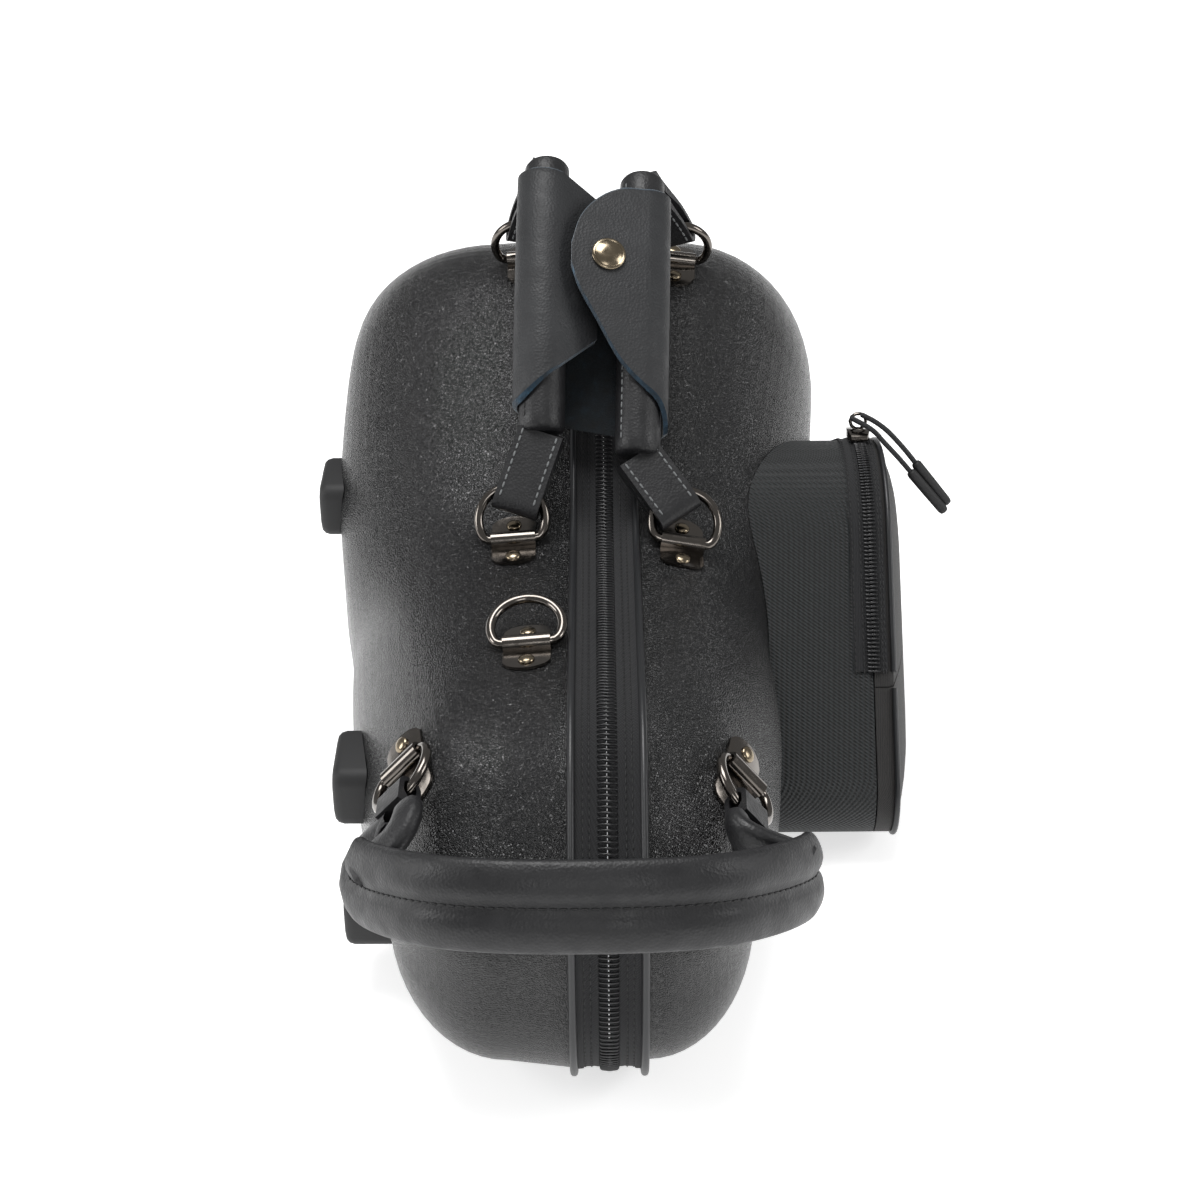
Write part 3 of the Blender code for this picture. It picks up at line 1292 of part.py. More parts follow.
def centre_frame():
    """Set the middle of everything but the cord's tails on the world's Z axis."""
    bpy.context.view_layer.update()
    graph = bpy.context.evaluated_depsgraph_get()
    spots = []
    for piece in bpy.data.objects:
        if piece.type == "MESH" and not piece.hide_render and not piece.name.startswith("pull_"):
            shape = piece.evaluated_get(graph)
            spots += [shape.matrix_world @ Vector(corner) for corner in shape.bound_box]
    middle = Vector([(min(row) + max(row)) / 2 for row in zip(*spots)])
    low = min(spot.z for spot in spots)
    bpy.data.objects["case_frame"].location = -Vector((middle.x, middle.y, low))


def main():
    clear_scene()
    frame = bpy.data.objects.new("case_frame", None)
    bpy.context.scene.collection.objects.link(frame)
    trees = {}
    cutters = {}
    for side, word in ((-1, "base"), (1, "lid")):
        solid = shell_solid(side)
        bmesh.ops.recalc_face_normals(solid, faces=solid.faces)
        trees[side] = BVHTree.FromBMesh(solid)
        add_piece(word + "_shell", solid, "shell")
        cutters[side] = add_cutter(word + "_form", pillow_solid(side, SEAT_GAP))
        build_zip_band(side, word)
    build_liner(-1, "base_liner", BASE_WELL_DEPTH, BASE_BELL_WELL_DEPTH)
    build_liner(1, "lid_liner", LID_WELL_DEPTH, LID_BELL_WELL_DEPTH)
    build_feet(cutters)
    seats = build_rings(trees, cutters)
    build_handles(seats)
    build_pocket(cutters)
    build_main_slider()
    eye, along = build_pocket_slider()
    build_pull_cord(eye)
    centre_frame()


RIM = case_outline()
RIM_NORMALS = inward_normals(RIM)
main()
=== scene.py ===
"""Contoured alto saxophone case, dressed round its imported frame.

X runs through the thickness (base half at -X, lid half with the pocket at +X), Y runs from the
narrow end to the bow end and Z is up. All lengths are in metres. Shapes are written in case
coordinates, with the parting plane at X 0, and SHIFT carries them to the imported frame.
"""
import json
import math

import bmesh
import bpy
from mathutils import Matrix, Vector
from mathutils.bvhtree import BVHTree


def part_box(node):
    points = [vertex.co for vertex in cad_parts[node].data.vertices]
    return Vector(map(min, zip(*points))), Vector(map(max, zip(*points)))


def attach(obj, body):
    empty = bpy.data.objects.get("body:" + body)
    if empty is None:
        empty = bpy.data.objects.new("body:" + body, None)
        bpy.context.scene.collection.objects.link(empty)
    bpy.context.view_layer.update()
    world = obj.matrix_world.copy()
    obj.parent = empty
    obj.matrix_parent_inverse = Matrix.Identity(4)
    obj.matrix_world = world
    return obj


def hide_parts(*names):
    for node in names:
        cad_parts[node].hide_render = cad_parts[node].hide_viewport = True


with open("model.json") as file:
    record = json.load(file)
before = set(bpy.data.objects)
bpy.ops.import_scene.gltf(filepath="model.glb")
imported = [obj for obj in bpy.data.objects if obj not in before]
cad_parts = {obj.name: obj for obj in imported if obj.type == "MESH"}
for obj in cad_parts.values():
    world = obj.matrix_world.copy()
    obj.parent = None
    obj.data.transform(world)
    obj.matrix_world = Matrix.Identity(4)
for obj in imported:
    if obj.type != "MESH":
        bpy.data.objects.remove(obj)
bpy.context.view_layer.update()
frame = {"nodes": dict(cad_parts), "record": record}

# Side profile of the case on its parting plane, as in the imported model: (y, z, corner radius)
NOSE_Y = -0.315
BOW_Y = 0.315
SPINE_Z = 0.004
NOSE_TOP_Z = 0.106
NOSE_TOP_RADIUS = 0.026
RIM_CORNERS = (
    (NOSE_Y, SPINE_Z, 0.053), (BOW_Y, SPINE_Z, 0.04), (BOW_Y, 0.109, 0.035),
    (0.195, 0.145, 0.12), (0.068, 0.2115, 0.07), (-0.088, 0.1355, 0.11),
    (-0.252, 0.146, 0.075), (NOSE_Y, NOSE_TOP_Z, NOSE_TOP_RADIUS),
)
ARC_STEP = math.radians(4.5)
RUN_STEP = 0.011
MEDIAL_INSET = 0.072

# Depth of each half at stations along the length, and how far its rounded edge reaches
DEPTHS = {-1: ((-0.315, 0.085), (-0.29, 0.085), (-0.25, 0.0908), (-0.2, 0.101), (-0.15, 0.1073),
               (-0.1, 0.1116), (-0.02, 0.1225), (0.068, 0.1205), (0.2, 0.1076), (0.315, 0.1)),
          1: ((-0.315, 0.0565), (-0.29, 0.0565), (-0.25, 0.06), (-0.2, 0.0705), (-0.15, 0.0725),
              (-0.1, 0.0725), (-0.02, 0.0885), (0.068, 0.1025), (0.2, 0.0915), (0.315, 0.085))}
EDGE_REACH = {-1: ((-0.3, 0.0457), (-0.12, 0.0597), (0.068, 0.0676)),
              1: ((-0.315, 0.0405), (-0.25, 0.0445), (-0.12, 0.048), (0.068, 0.0663))}
EDGE_DROP = {-1: ((-0.3, 0.0581), (0.068, 0.0529)),
             1: ((-0.3, 0.0552), (-0.08, 0.056), (0.068, 0.0741), (0.2, 0.054))}
SHELL_WALL = 0.0025
SHELL_DRAFT = 0.003
WALL_STEPS = 8
BEND_STEPS = 14
FACE_SHARES = (0.3, 0.6, 0.85)
FACE_RISE = 1.6

# Dips beside the zip's ridge near the narrow end
VALLEY_X = {-1: 0.042, 1: 0.030}
VALLEY_DEPTH = 0.005
VALLEY_WIDTH = 0.026
VALLEY_REACH_Y = -0.2
VALLEY_FADE = 0.045

# Gaps between pieces: at rest, and where one runs in the other
GAP = 0.0003
RUN_GAP = 0.0004
SPLIT_HALF = 0.0003

# Handles: the ends of each tube's centre line
GRIP_RADIUS = 0.010
GRIP_ARCH = 0.006
GRIPS = {
    "base": (Vector((-0.027, -0.070, 0.174)), Vector((-0.0245, 0.034, 0.2565))),
    "lid": (Vector((0.0145, -0.074, 0.1645)), Vector((0.0185, 0.034, 0.249))),
}

# Stitches: spacing, and (length, width, height) of one
STITCHES = {"tape": (0.0032, (0.0022, 0.0006, 0.0005)), "tube": (0.0034, (0.0026, 0.0008, 0.0007)),
            "strap": (0.0033, (0.0026, 0.0009, 0.0008)), "end": (0.0036, (0.0028, 0.0009, 0.0008)),
            "binding": (0.003, (0.0022, 0.0006, 0.0005)),
            "gusset": (0.003, (0.0023, 0.0008, 0.0006))}

# Where rays start that look for a shell from outside, and how far in a foot goes if one misses
PROBE_OUT = 0.4
PROBE_MISS = 0.01

X_AXIS = Vector((1, 0, 0))
Z_AXIS = Vector((0, 0, 1))
SHIFT = Vector((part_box("base_zip_tape")[1].x + SPLIT_HALF,
                sum(corner.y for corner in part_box("base_shell")) / 2, 0.0))


# ---- colour and materials


def linear(code):
    """Linear colour of an sRGB hex value."""
    values = [int(code[i:i + 2], 16) / 255 for i in (1, 3, 5)]
    return tuple(v / 12.92 if v <= 0.04045 else ((v + 0.055) / 1.055) ** 2.4 for v in values)


def add(tree, kind, inputs=None, **settings):
    """Add one node with its settings; inputs holds values or sockets by name or number."""
    made = tree.nodes.new(kind)
    for key, value in settings.items():
        setattr(made, key, value)
    for key, value in (inputs or {}).items():
        if isinstance(value, bpy.types.NodeSocket):
            tree.links.new(value, made.inputs[key])
        else:
            made.inputs[key].default_value = value
    return made


def finish_material(name, colour, roughness, metallic=0.0, **more):
    """A Principled material and its tree, its shader and its object coordinates."""
    material = bpy.data.materials.new(name)
    material.use_nodes = True
    tree = material.node_tree
    shader = tree.nodes["Principled BSDF"]
    values = {"Base_Color": (*linear(colour), 1.0), "Roughness": roughness, "Metallic": metallic}
    for key, value in {**values, **more}.items():
        shader.inputs[key.replace("_", " ")].default_value = value
    place = add(tree, "ShaderNodeTexCoord").outputs["Object"]
    return material, tree, shader, place


def noise(tree, place, scale, detail=2.0):
    """Outputs of a noise with about as many spots in a metre as its scale."""
    return add(tree, "ShaderNodeTexNoise", {"Vector": place, "Scale": scale,
                                            "Detail": detail}).outputs


def calculate(tree, operation, *values):
    return add(tree, "ShaderNodeMath", dict(enumerate(values)), operation=operation).outputs[0]


def remap(tree, value, low, high, to_low=0.0, to_high=1.0, **settings):
    return add(tree, "ShaderNodeMapRange",
               {"Value": value, "From Min": low, "From Max": high, "To Min": to_low,
                "To Max": to_high}, **settings).outputs["Result"]


def tint(tree, shader, fac, *stops):
    """Drive the base colour through a ramp of (position, colour) stops."""
    made = add(tree, "ShaderNodeValToRGB", {"Fac": fac})
    while len(made.color_ramp.elements) < len(stops):
        made.color_ramp.elements.new(0.5)
    for element, (position, colour) in zip(made.color_ramp.elements, stops):
        element.position = position
        element.color = (*linear(colour), 1.0)
    tree.links.new(made.outputs["Color"], shader.inputs["Base Color"])


def bump(tree, shader, height, strength, distance):
    made = add(tree, "ShaderNodeBump", {"Height": height, "Strength": strength,
                                        "Distance": distance})
    tree.links.new(made.outputs["Normal"], shader.inputs["Normal"])


def shell_material():
    """Vacuum-formed ABS: pebbles of about 0.9 mm with fine cracks break its satin shine."""
    material, tree, shader, place = finish_material("pebbled_abs", "#0b0b0c", 0.27, IOR=1.53)
    warp = noise(tree, place, 500.0)
    shift = add(tree, "ShaderNodeVectorMath", {0: warp["Color"], 1: (0.0006,) * 3, 2: place},
                operation="MULTIPLY_ADD")
    # 1 / 0.9 mm gives 1100 cells a metre
    pebbles = add(tree, "ShaderNodeTexVoronoi", {"Vector": shift.outputs[0], "Scale": 1100.0},
                  feature="DISTANCE_TO_EDGE")
    crown = remap(tree, pebbles.outputs["Distance"], 0.0, 0.32, interpolation_type="SMOOTHSTEP")
    # painted shade and highlight: the cracks are darker and the pebble crowns lighter, so the eye
    # reads the grain from colour too, not only from shine
    tint(tree, shader, crown, (0.0, "#030303"), (1.0, "#18181a"))
    bump(tree, shader, calculate(tree, "MULTIPLY_ADD", warp["Fac"], 0.7, crown), 0.75, 0.0004)
    return material


def plush_material():
    """Short plush glued over moulded foam: soft black pile with a faint sheen."""
    material, tree, shader, place = finish_material("black_plush", "#1a1a1c", 0.95,
                                                    Sheen_Weight=0.5)
    # 1500 a metre: tufts of 0.7 mm; 30 a metre: brushed patches of 33 mm
    bump(tree, shader, noise(tree, place, 1500.0, 4.0)["Fac"], 0.5, 0.0006)
    tint(tree, shader, noise(tree, place, 30.0)["Fac"], (0.3, "#131315"), (0.7, "#222225"))
    return material


def woven(name, dark, light, thread, roughness, strength=0.5, skew=0.0):
    """A plain or skewed weave: two sets of threads cross at the given spacing, with painted shade
    between them and painted highlights on their crowns.
    """
    material, tree, shader, place = finish_material(name, dark, roughness, Sheen_Weight=0.06)
    spots = add(tree, "ShaderNodeSeparateXYZ", {"Vector": place}).outputs
    waves = []
    for source in (calculate(tree, "ADD", spots["X"], spots["Y"]), spots["Z"]):
        slant = calculate(tree, "MULTIPLY_ADD", spots["Z"], skew, source)
        # half a wave is one thread
        waves.append(calculate(tree, "SINE", calculate(tree, "MULTIPLY", slant,
                                                       math.tau / (2 * thread))))
    height = remap(tree, calculate(tree, "MULTIPLY", *waves), -1.0, 1.0)
    fuzz = noise(tree, place, 0.9 / thread, 3.0)["Fac"]
    total = calculate(tree, "MULTIPLY_ADD", fuzz, 0.5, height)
    bump(tree, shader, total, strength, thread * 0.5)
    # painted shade in the dips between threads and painted highlight on their crowns, from the
    # weave's height
    tint(tree, shader, total, (0.6, dark), (1.0, light))
    return material


def metal(name, colour, roughness):
    """Plated steel: bright, with faint scuffs of 3 mm (350 a metre) that blur its shine."""
    material, tree, shader, place = finish_material(name, colour, roughness, 1.0)
    rough = remap(tree, noise(tree, place, 350.0, 5.0)["Fac"], 0.35, 0.75, roughness * 0.75,
                  roughness * 1.6)
    tree.links.new(rough, shader.inputs["Roughness"])
    return material


def leather(name, dark, light, roughness, strength=0.25):
    """Chrome-tanned smooth leather: fine creases and a soft satin shine."""
    material, tree, shader, place = finish_material(name, dark, roughness, IOR=1.48)
    # 900 a metre: pores of 1.1 mm; 130: creases of 8 mm; 45: paler patches of 22 mm
    pores = add(tree, "ShaderNodeTexVoronoi", {"Vector": place, "Scale": 900.0})
    crease = noise(tree, place, 130.0, 6.0)["Fac"]
    height = calculate(tree, "MULTIPLY_ADD", crease, 1.6, pores.outputs["Distance"])
    bump(tree, shader, height, strength, 0.0005)
    tint(tree, shader, noise(tree, place, 45.0, 3.0)["Fac"], (0.3, dark), (0.75, light))
    rough = remap(tree, crease, 0.3, 0.7, roughness - 0.06, roughness + 0.1)
    tree.links.new(rough, shader.inputs["Roughness"])
    return material


def suede_material(name, dark, middle, light):
    """The leather's fleshy back and raw edges: blue-black, matt and fuzzy; the back is made as a
    darker copy with painted shade, the edges as a lighter, lit copy.
    """
    material, tree, shader, place = finish_material(name, dark, 0.95, Sheen_Weight=0.3)
    # 1400 a metre: fibres of 0.7 mm; 220 a metre: rubbed patches of 4.5 mm
    bump(tree, shader, noise(tree, place, 1400.0, 5.0)["Fac"], 0.7, 0.0005)
    tint(tree, shader, noise(tree, place, 220.0, 4.0)["Fac"], (0.3, dark), (0.6, middle),
         (0.8, light))
    return material


def plain(name, colour, roughness, scale, depth, **more):
    """A moulded or drawn material with a fine grit, so that its shine isn't dead even."""
    material, tree, shader, place = finish_material(name, colour, roughness, **more)
    bump(tree, shader, noise(tree, place, scale, 4.0)["Fac"], 0.35, depth)
    return material


MATERIALS = {
    "shell": shell_material(),
    "foam": plush_material(),
    # extruded PVC: one soft highlight runs along the bead; grit of 1.1 mm
    "piping": plain("extruded_piping", "#1d1e20", 0.38, 900.0, 0.0002),
    # polyester zip tape: matt, with slanted ribs at 0.6 mm
    "tape": woven("zip_tape_twill", "#0c0c0e", "#1b1c1f", 0.0006, 0.8, 0.8, skew=0.5),
    # drawn nylon wire: a spark on each tooth; grit of 0.8 mm
    "coil": plain("nylon_coil", "#141416", 0.3, 1200.0, 0.0001, IOR=1.53),
    # black nickel and old brass plating: dark and warm mirrors of the room
    "nickel": metal("black_nickel", "#6b6661", 0.14),
    "brass": metal("antique_brass", "#8b7f6c", 0.2),
    "leather": leather("smooth_black_leather", "#121214", "#1c1c1e", 0.46),
    # the wrap's side is duller and greyer than the tubes'
    "wrap": leather("matt_wrap_leather", "#1b1c1e", "#262729", 0.56, 0.35),
    # painted shade: the fleshy back is the same suede as the raw edge, darkened for the shade it
    # lies in; the raw edge is the lit copy
    "suede": suede_material("fleshy_back_painted_shade", "#060a0d", "#0a141a", "#122029"),
    "edge": suede_material("raw_cut_edge", "#0c1b25", "#173243", "#2f5870"),
    # waxed polyester thread: fibres of 0.4 mm keep it matt
    "thread": plain("waxed_thread", "#1a1a1b", 0.6, 2500.0, 0.0002),
    "pale_thread": plain("grey_thread", "#6d6f70", 0.6, 2500.0, 0.0002),
    # moulded rubber: dull, with a grit of 1.4 mm
    "rubber": plain("moulded_rubber", "#19191a", 0.62, 700.0, 0.0002),
    # coarse ballistic weave at 1.15 mm against the front's fine twill at 0.5 mm
    "nylon": woven("ballistic_nylon", "#030304", "#191e20", 0.00115, 0.6, 1.0),
    "twill": woven("pocket_twill", "#0a0a0a", "#24211f", 0.0005, 0.65, 0.7, skew=0.7),
    # braid with strands of 0.4 mm that run at a slant
    "cord": woven("braided_cord", "#101012", "#2a2b2e", 0.0004, 0.7, 0.7, skew=1.0),
}


# ---- mesh helpers


def link_object(name, data):
    made = bpy.data.objects.new(name, data)
    bpy.context.scene.collection.objects.link(made)
    return made


def mesh_object(name, solid):
    """A smooth-shaded object made from a bmesh, which is used up."""
    bmesh.ops.recalc_face_normals(solid, faces=solid.faces)
    mesh = bpy.data.meshes.new(name)
    solid.to_mesh(mesh)
    solid.free()
    mesh.shade_smooth()
    return link_object(name, mesh)


def add_piece(name, solid, finish, body, replaced=(), angle=50, shifted=False):
    """Turn a bmesh (in case coordinates) into a finished object on its body."""
    bmesh.ops.remove_doubles(solid, verts=solid.verts, dist=1e-7)
    if not shifted:
        bmesh.ops.translate(solid, vec=SHIFT, verts=solid.verts)
    piece = mesh_object(name, solid)
    piece.data.set_sharp_from_angle(angle=math.radians(angle))
    for key in [finish] if isinstance(finish, str) else finish:
        piece.data.materials.append(MATERIALS[key])
    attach(piece, body)
    if replaced:
        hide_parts(*replaced)
    return piece


def loft(rings, closed=False, capped=True):
    """Skin rings of equal count."""
    solid = bmesh.new()
    rows = [[solid.verts.new(point) for point in ring] for ring in rings]
    pairs = list(zip(rows, rows[1:]))
    if closed:
        pairs.append((rows[-1], rows[0]))
    for low, high in pairs:
        for here in range(len(low)):
            there = (here + 1) % len(low)
            solid.faces.new((low[here], low[there], high[there], high[here]))
    if capped and not closed:
        solid.faces.new(list(reversed(rows[0])))
        solid.faces.new(rows[-1])
    return solid


def circle(count):
    """Cosine and sine at equal steps of a whole turn."""
    return [(math.cos(math.tau * k / count), math.sin(math.tau * k / count))
            for k in range(count)]


def smooth(share):
    held = min(max(share, 0.0), 1.0)
    return held * held * (3 - 2 * held)


def mix(low, high, share):
    return low + (high - low) * share


def fillet_outline(corners, step=ARC_STEP, run=RUN_STEP):
    """Points of a closed outline whose corners (u, v, radius) are rounded with arcs."""
    arcs = []
    for index, (u, v, radius) in enumerate(corners):
        here = Vector((u, v))
        back = (Vector(corners[index - 1][:2]) - here).normalized()
        ahead = (Vector(corners[(index + 1) % len(corners)][:2]) - here).normalized()
        inside = back.angle(ahead)
        centre = here + (back + ahead).normalized() * (radius / math.sin(inside / 2))
        spoke = here + back * (radius / math.tan(inside / 2)) - centre
        turn = math.copysign(math.pi - inside, back.y * ahead.x - back.x * ahead.y)
        steps = max(1, math.ceil(abs(turn) / step))
        for count in range(steps + 1):
            arcs.append(centre + Matrix.Rotation(turn * count / steps, 2) @ spoke)
    points = []
    for here, there in zip(arcs, arcs[1:] + arcs[:1]):
        pieces = max(1, math.ceil((there - here).length / run))
        points += [here.lerp(there, piece / pieces) for piece in range(pieces)]
    return points


def inward_normals(points):
    """Unit normals to the left of a closed path."""
    normals = []
    for index in range(len(points)):
        along = (points[(index + 1) % len(points)] - points[index - 1]).normalized()
        normals.append(Vector((-along.y, along.x)))
    return normals


def outward(normals):
    """The same normals turned outwards, as directions in space."""
    return [Vector((0, -normal.x, -normal.y)) for normal in normals]


def beside(x, path, normals, inset):
    """A line at x that follows a path of the side view, moved in along its normals."""
    return [Vector((x, *(point + normal * inset))) for point, normal in zip(path, normals)]


def band(side, path, normals, profile):
    """A bar along a path of the side view, with a profile of (x, inset) points."""
    return loft([[Vector((side * x, *(point + normal * inset))) for x, inset in profile]
                 for point, normal in zip(path, normals)])


def eased(table, place):
    """Value of a smooth curve through the table's (place, value) pairs, level outside them."""
    if place <= table[0][0]:
        return table[0][1]
    for index in range(len(table) - 1):
        (low, here), (high, there) = table[index:index + 2]
        if place < high:
            before = table[max(index - 1, 0)]
            after = table[min(index + 2, len(table) - 1)]
            run = high - low
            leave = (there - before[1]) / (high - before[0]) * run
            reach = (after[1] - here) / (after[0] - low) * run
            t = (place - low) / run
            return ((2 * t ** 3 - 3 * t ** 2 + 1) * here + (t ** 3 - 2 * t ** 2 + t) * leave
                    + (3 * t ** 2 - 2 * t ** 3) * there + (t ** 3 - t ** 2) * reach)
    return table[-1][1]


def tube(points, radius, sides=12, closed=False, hint=Z_AXIS):
    """A round bar along a smooth path; radius is a number or one for each point."""
    count = len(points)
    radii = radius if isinstance(radius, list) else [radius] * count
    rings = []
    side = None
    for index, here in enumerate(points):
        before = points[index - 1] if closed or index else here
        after = points[(index + 1) % count] if closed or index < count - 1 else here
        along = (after - before).normalized()
        side = side or along.cross(hint)
        side = (side - along * side.dot(along)).normalized()
        up = side.cross(along)
        rings.append([here + side * (radii[index] * c) + up * (radii[index] * s)
                      for c, s in circle(sides)])
    return loft(rings, closed=closed)


def spline(points, per_run):
    """Points of a smooth curve through the given ones (Catmull-Rom)."""
    result = []
    for index in range(len(points) - 1):
        p0 = points[max(index - 1, 0)]
        p1, p2 = points[index:index + 2]
        p3 = points[min(index + 2, len(points) - 1)]
        for step in range(per_run):
            t = step / per_run
            result.append((p1 * 2 + (p2 - p0) * t + (p0 * 2 - p1 * 5 + p2 * 4 - p3) * t ** 2
                           + (p1 * 3 - p0 - p2 * 3 + p3) * t ** 3) / 2)
    result.append(points[-1])
    return result


def bevel_sharp(solid, offset, angle=50, segments=2, profile=0.5, held=True):
    edges = [e for e in solid.edges if len(e.link_faces) == 2
             and e.calc_face_angle(0) > math.radians(angle)]
    bmesh.ops.bevel(solid, geom=edges, offset=offset, segments=segments, affect="EDGES",
                    profile=profile, clamp_overlap=held)
    return solid


def packed_copy(node, merge, flat):
    """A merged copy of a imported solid, with faces within the flat angle joined."""
    solid = bmesh.new()
    solid.from_mesh(frame["nodes"][node].data)
    bmesh.ops.remove_doubles(solid, verts=solid.verts, dist=merge)
    bmesh.ops.dissolve_limit(solid, angle_limit=math.radians(flat), verts=solid.verts,
                             edges=solid.edges)
    return solid


# ---- repeats made with Geometry Nodes


def build_copy_tree(name, repeated):
    """Copies of one piece: along a line, turned to it and to its outward side, or at single
    points, each standing on its outward direction."""
    tree = bpy.data.node_groups.new(name, "GeometryNodeTree")
    sockets = [("Places", "Geometry"), ("Copy", "Object"), ("Finish", "Material")]
    if repeated:
        sockets.append(("Spacing", "Float"))
    for label, kind in sockets:
        tree.interface.new_socket(label, in_out="INPUT", socket_type="NodeSocket" + kind)
    tree.interface.new_socket("Copies", in_out="OUTPUT", socket_type="NodeSocketGeometry")
    given = add(tree, "NodeGroupInput").outputs
    dots = given["Places"]
    turn = {}
    if repeated:
        curve = add(tree, "GeometryNodeMeshToCurve", {"Mesh": dots})
        dots = add(tree, "GeometryNodeResampleCurve",
                   {"Curve": curve.outputs[0], "Length": given["Spacing"]},
                   mode="LENGTH").outputs[0]
        along = add(tree, "GeometryNodeInputTangent")
        turn["Rotation"] = add(tree, "FunctionNodeAlignRotationToVector",
                               {"Vector": along.outputs[0]}, axis="X").outputs[0]
    side = add(tree, "GeometryNodeInputNamedAttribute", {"Name": "outward"},
               data_type="FLOAT_VECTOR")
    stand = add(tree, "FunctionNodeAlignRotationToVector", {**turn, "Vector": side.outputs[0]},
                axis="Z", pivot_axis="X" if repeated else "AUTO")
    source = add(tree, "GeometryNodeObjectInfo", {"Object": given["Copy"]})
    copies = add(tree, "GeometryNodeInstanceOnPoints",
                 {"Points": dots, "Instance": source.outputs["Geometry"],
                  "Rotation": stand.outputs[0]})
    real = add(tree, "GeometryNodeRealizeInstances", {0: copies.outputs[0]})
    painted = add(tree, "GeometryNodeSetMaterial", {"Geometry": real.outputs[0],
                                                    "Material": given["Finish"]})
    add(tree, "NodeGroupOutput", {0: painted.outputs[0]})
    return tree


REPEAT_TREE = build_copy_tree("repeat_along_line", True)
PLACE_TREE = build_copy_tree("place_at_points", False)


def add_copies(name, solid, lines, finish, body, spacing=None):
    """Copies of a small piece along (points, outwards) lines, or at their points where no
    spacing is given, kept as a plain mesh."""
    stamp = mesh_object(name + "_stamp", solid)
    spots, sides, edges = [], [], []
    for points, outwards in lines:
        start = len(spots)
        spots += [point + SHIFT for point in points]
        sides += outwards
        if spacing:
            edges += [(start + i, start + i + 1) for i in range(len(points) - 1)]
    mesh = bpy.data.meshes.new(name + "_lines")
    mesh.from_pydata(spots, edges, [])
    store = mesh.attributes.new("outward", "FLOAT_VECTOR", "POINT")
    for item, side in zip(store.data, sides):
        item.vector = side
    holder = link_object(name + "_lines", mesh)
    change = holder.modifiers.new("copies", "NODES")
    change.node_group = REPEAT_TREE if spacing else PLACE_TREE
    values = {"Copy": stamp, "Finish": MATERIALS[finish], "Spacing": spacing}
    for item in change.node_group.interface.items_tree:
        if item.name in values:
            change[item.identifier] = values[item.name]
    bpy.context.view_layer.update()
    graph = bpy.context.evaluated_depsgraph_get()
    result = bpy.data.meshes.new_from_object(holder.evaluated_get(graph))
    result.name = name
    for used in (holder, stamp):
        bpy.data.objects.remove(used, do_unlink=True)
    result.shade_smooth()
    piece = link_object(name, result)
    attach(piece, body)


# A short bar with rounded ends: place along its length, share of its width
CAPSULE = ((-0.5, 0.25), (-0.42, 0.8), (-0.2, 1.0), (0.2, 1.0), (0.42, 0.8), (0.5, 0.25))


def add_stitches(name, lines, kind, finish, body):
    """A row of stitches along each (points, outwards) line."""
    spacing, (length, width, height) = STITCHES[kind]
    stitch = loft([[Vector((length * place, width / 2 * size * c, height / 2 * size * s))
                    for c, s in circle(6)] for place, size in CAPSULE])
    add_copies(name, stitch, lines, finish, body, spacing)


def add_teeth(name, sections, sides, line, outwards, pitch, side, body):
    """Half of a zip's coil: bars of (reach, rise, radius) sections, the other half's between."""
    tooth = loft([[Vector((radius * c, -side * reach, rise + radius * s))
                   for c, s in circle(sides)] for reach, rise, radius in sections])
    if side > 0:
        line[0] = line[0].lerp(line[1], min(1, pitch / 2 / (line[1] - line[0]).length))
    add_copies(name, tooth, [(line, outwards)], "coil", body, pitch)


# ---- camera, light and floor

CAMERA_SPOT = Vector((-0.0015, -0.970, 0.6314))
CAMERA_PITCH = 31.03
CAMERA_YAW = 0.05
CAMERA_ROLL = -0.5
CAMERA_LENS = 69.85
FLOOR_REACH = 4.0
FLOOR_GLOW = 0.6
ROOM_GLOW = 0.3
LAMP_AIM = Vector((0, 0, 0.1))
# Name, place, size and power of each soft lamp
LAMPS = (("overhead", (-0.3, 0.2, 2.1), 1.1, 34.0), ("left_strip", (-1.5, -0.3, 0.7), 0.7, 9.0),
         ("right_strip", (1.5, -0.4, 0.9), 0.7, 8.0), ("front", (0.1, -1.8, 1.0), 0.6, 5.0))


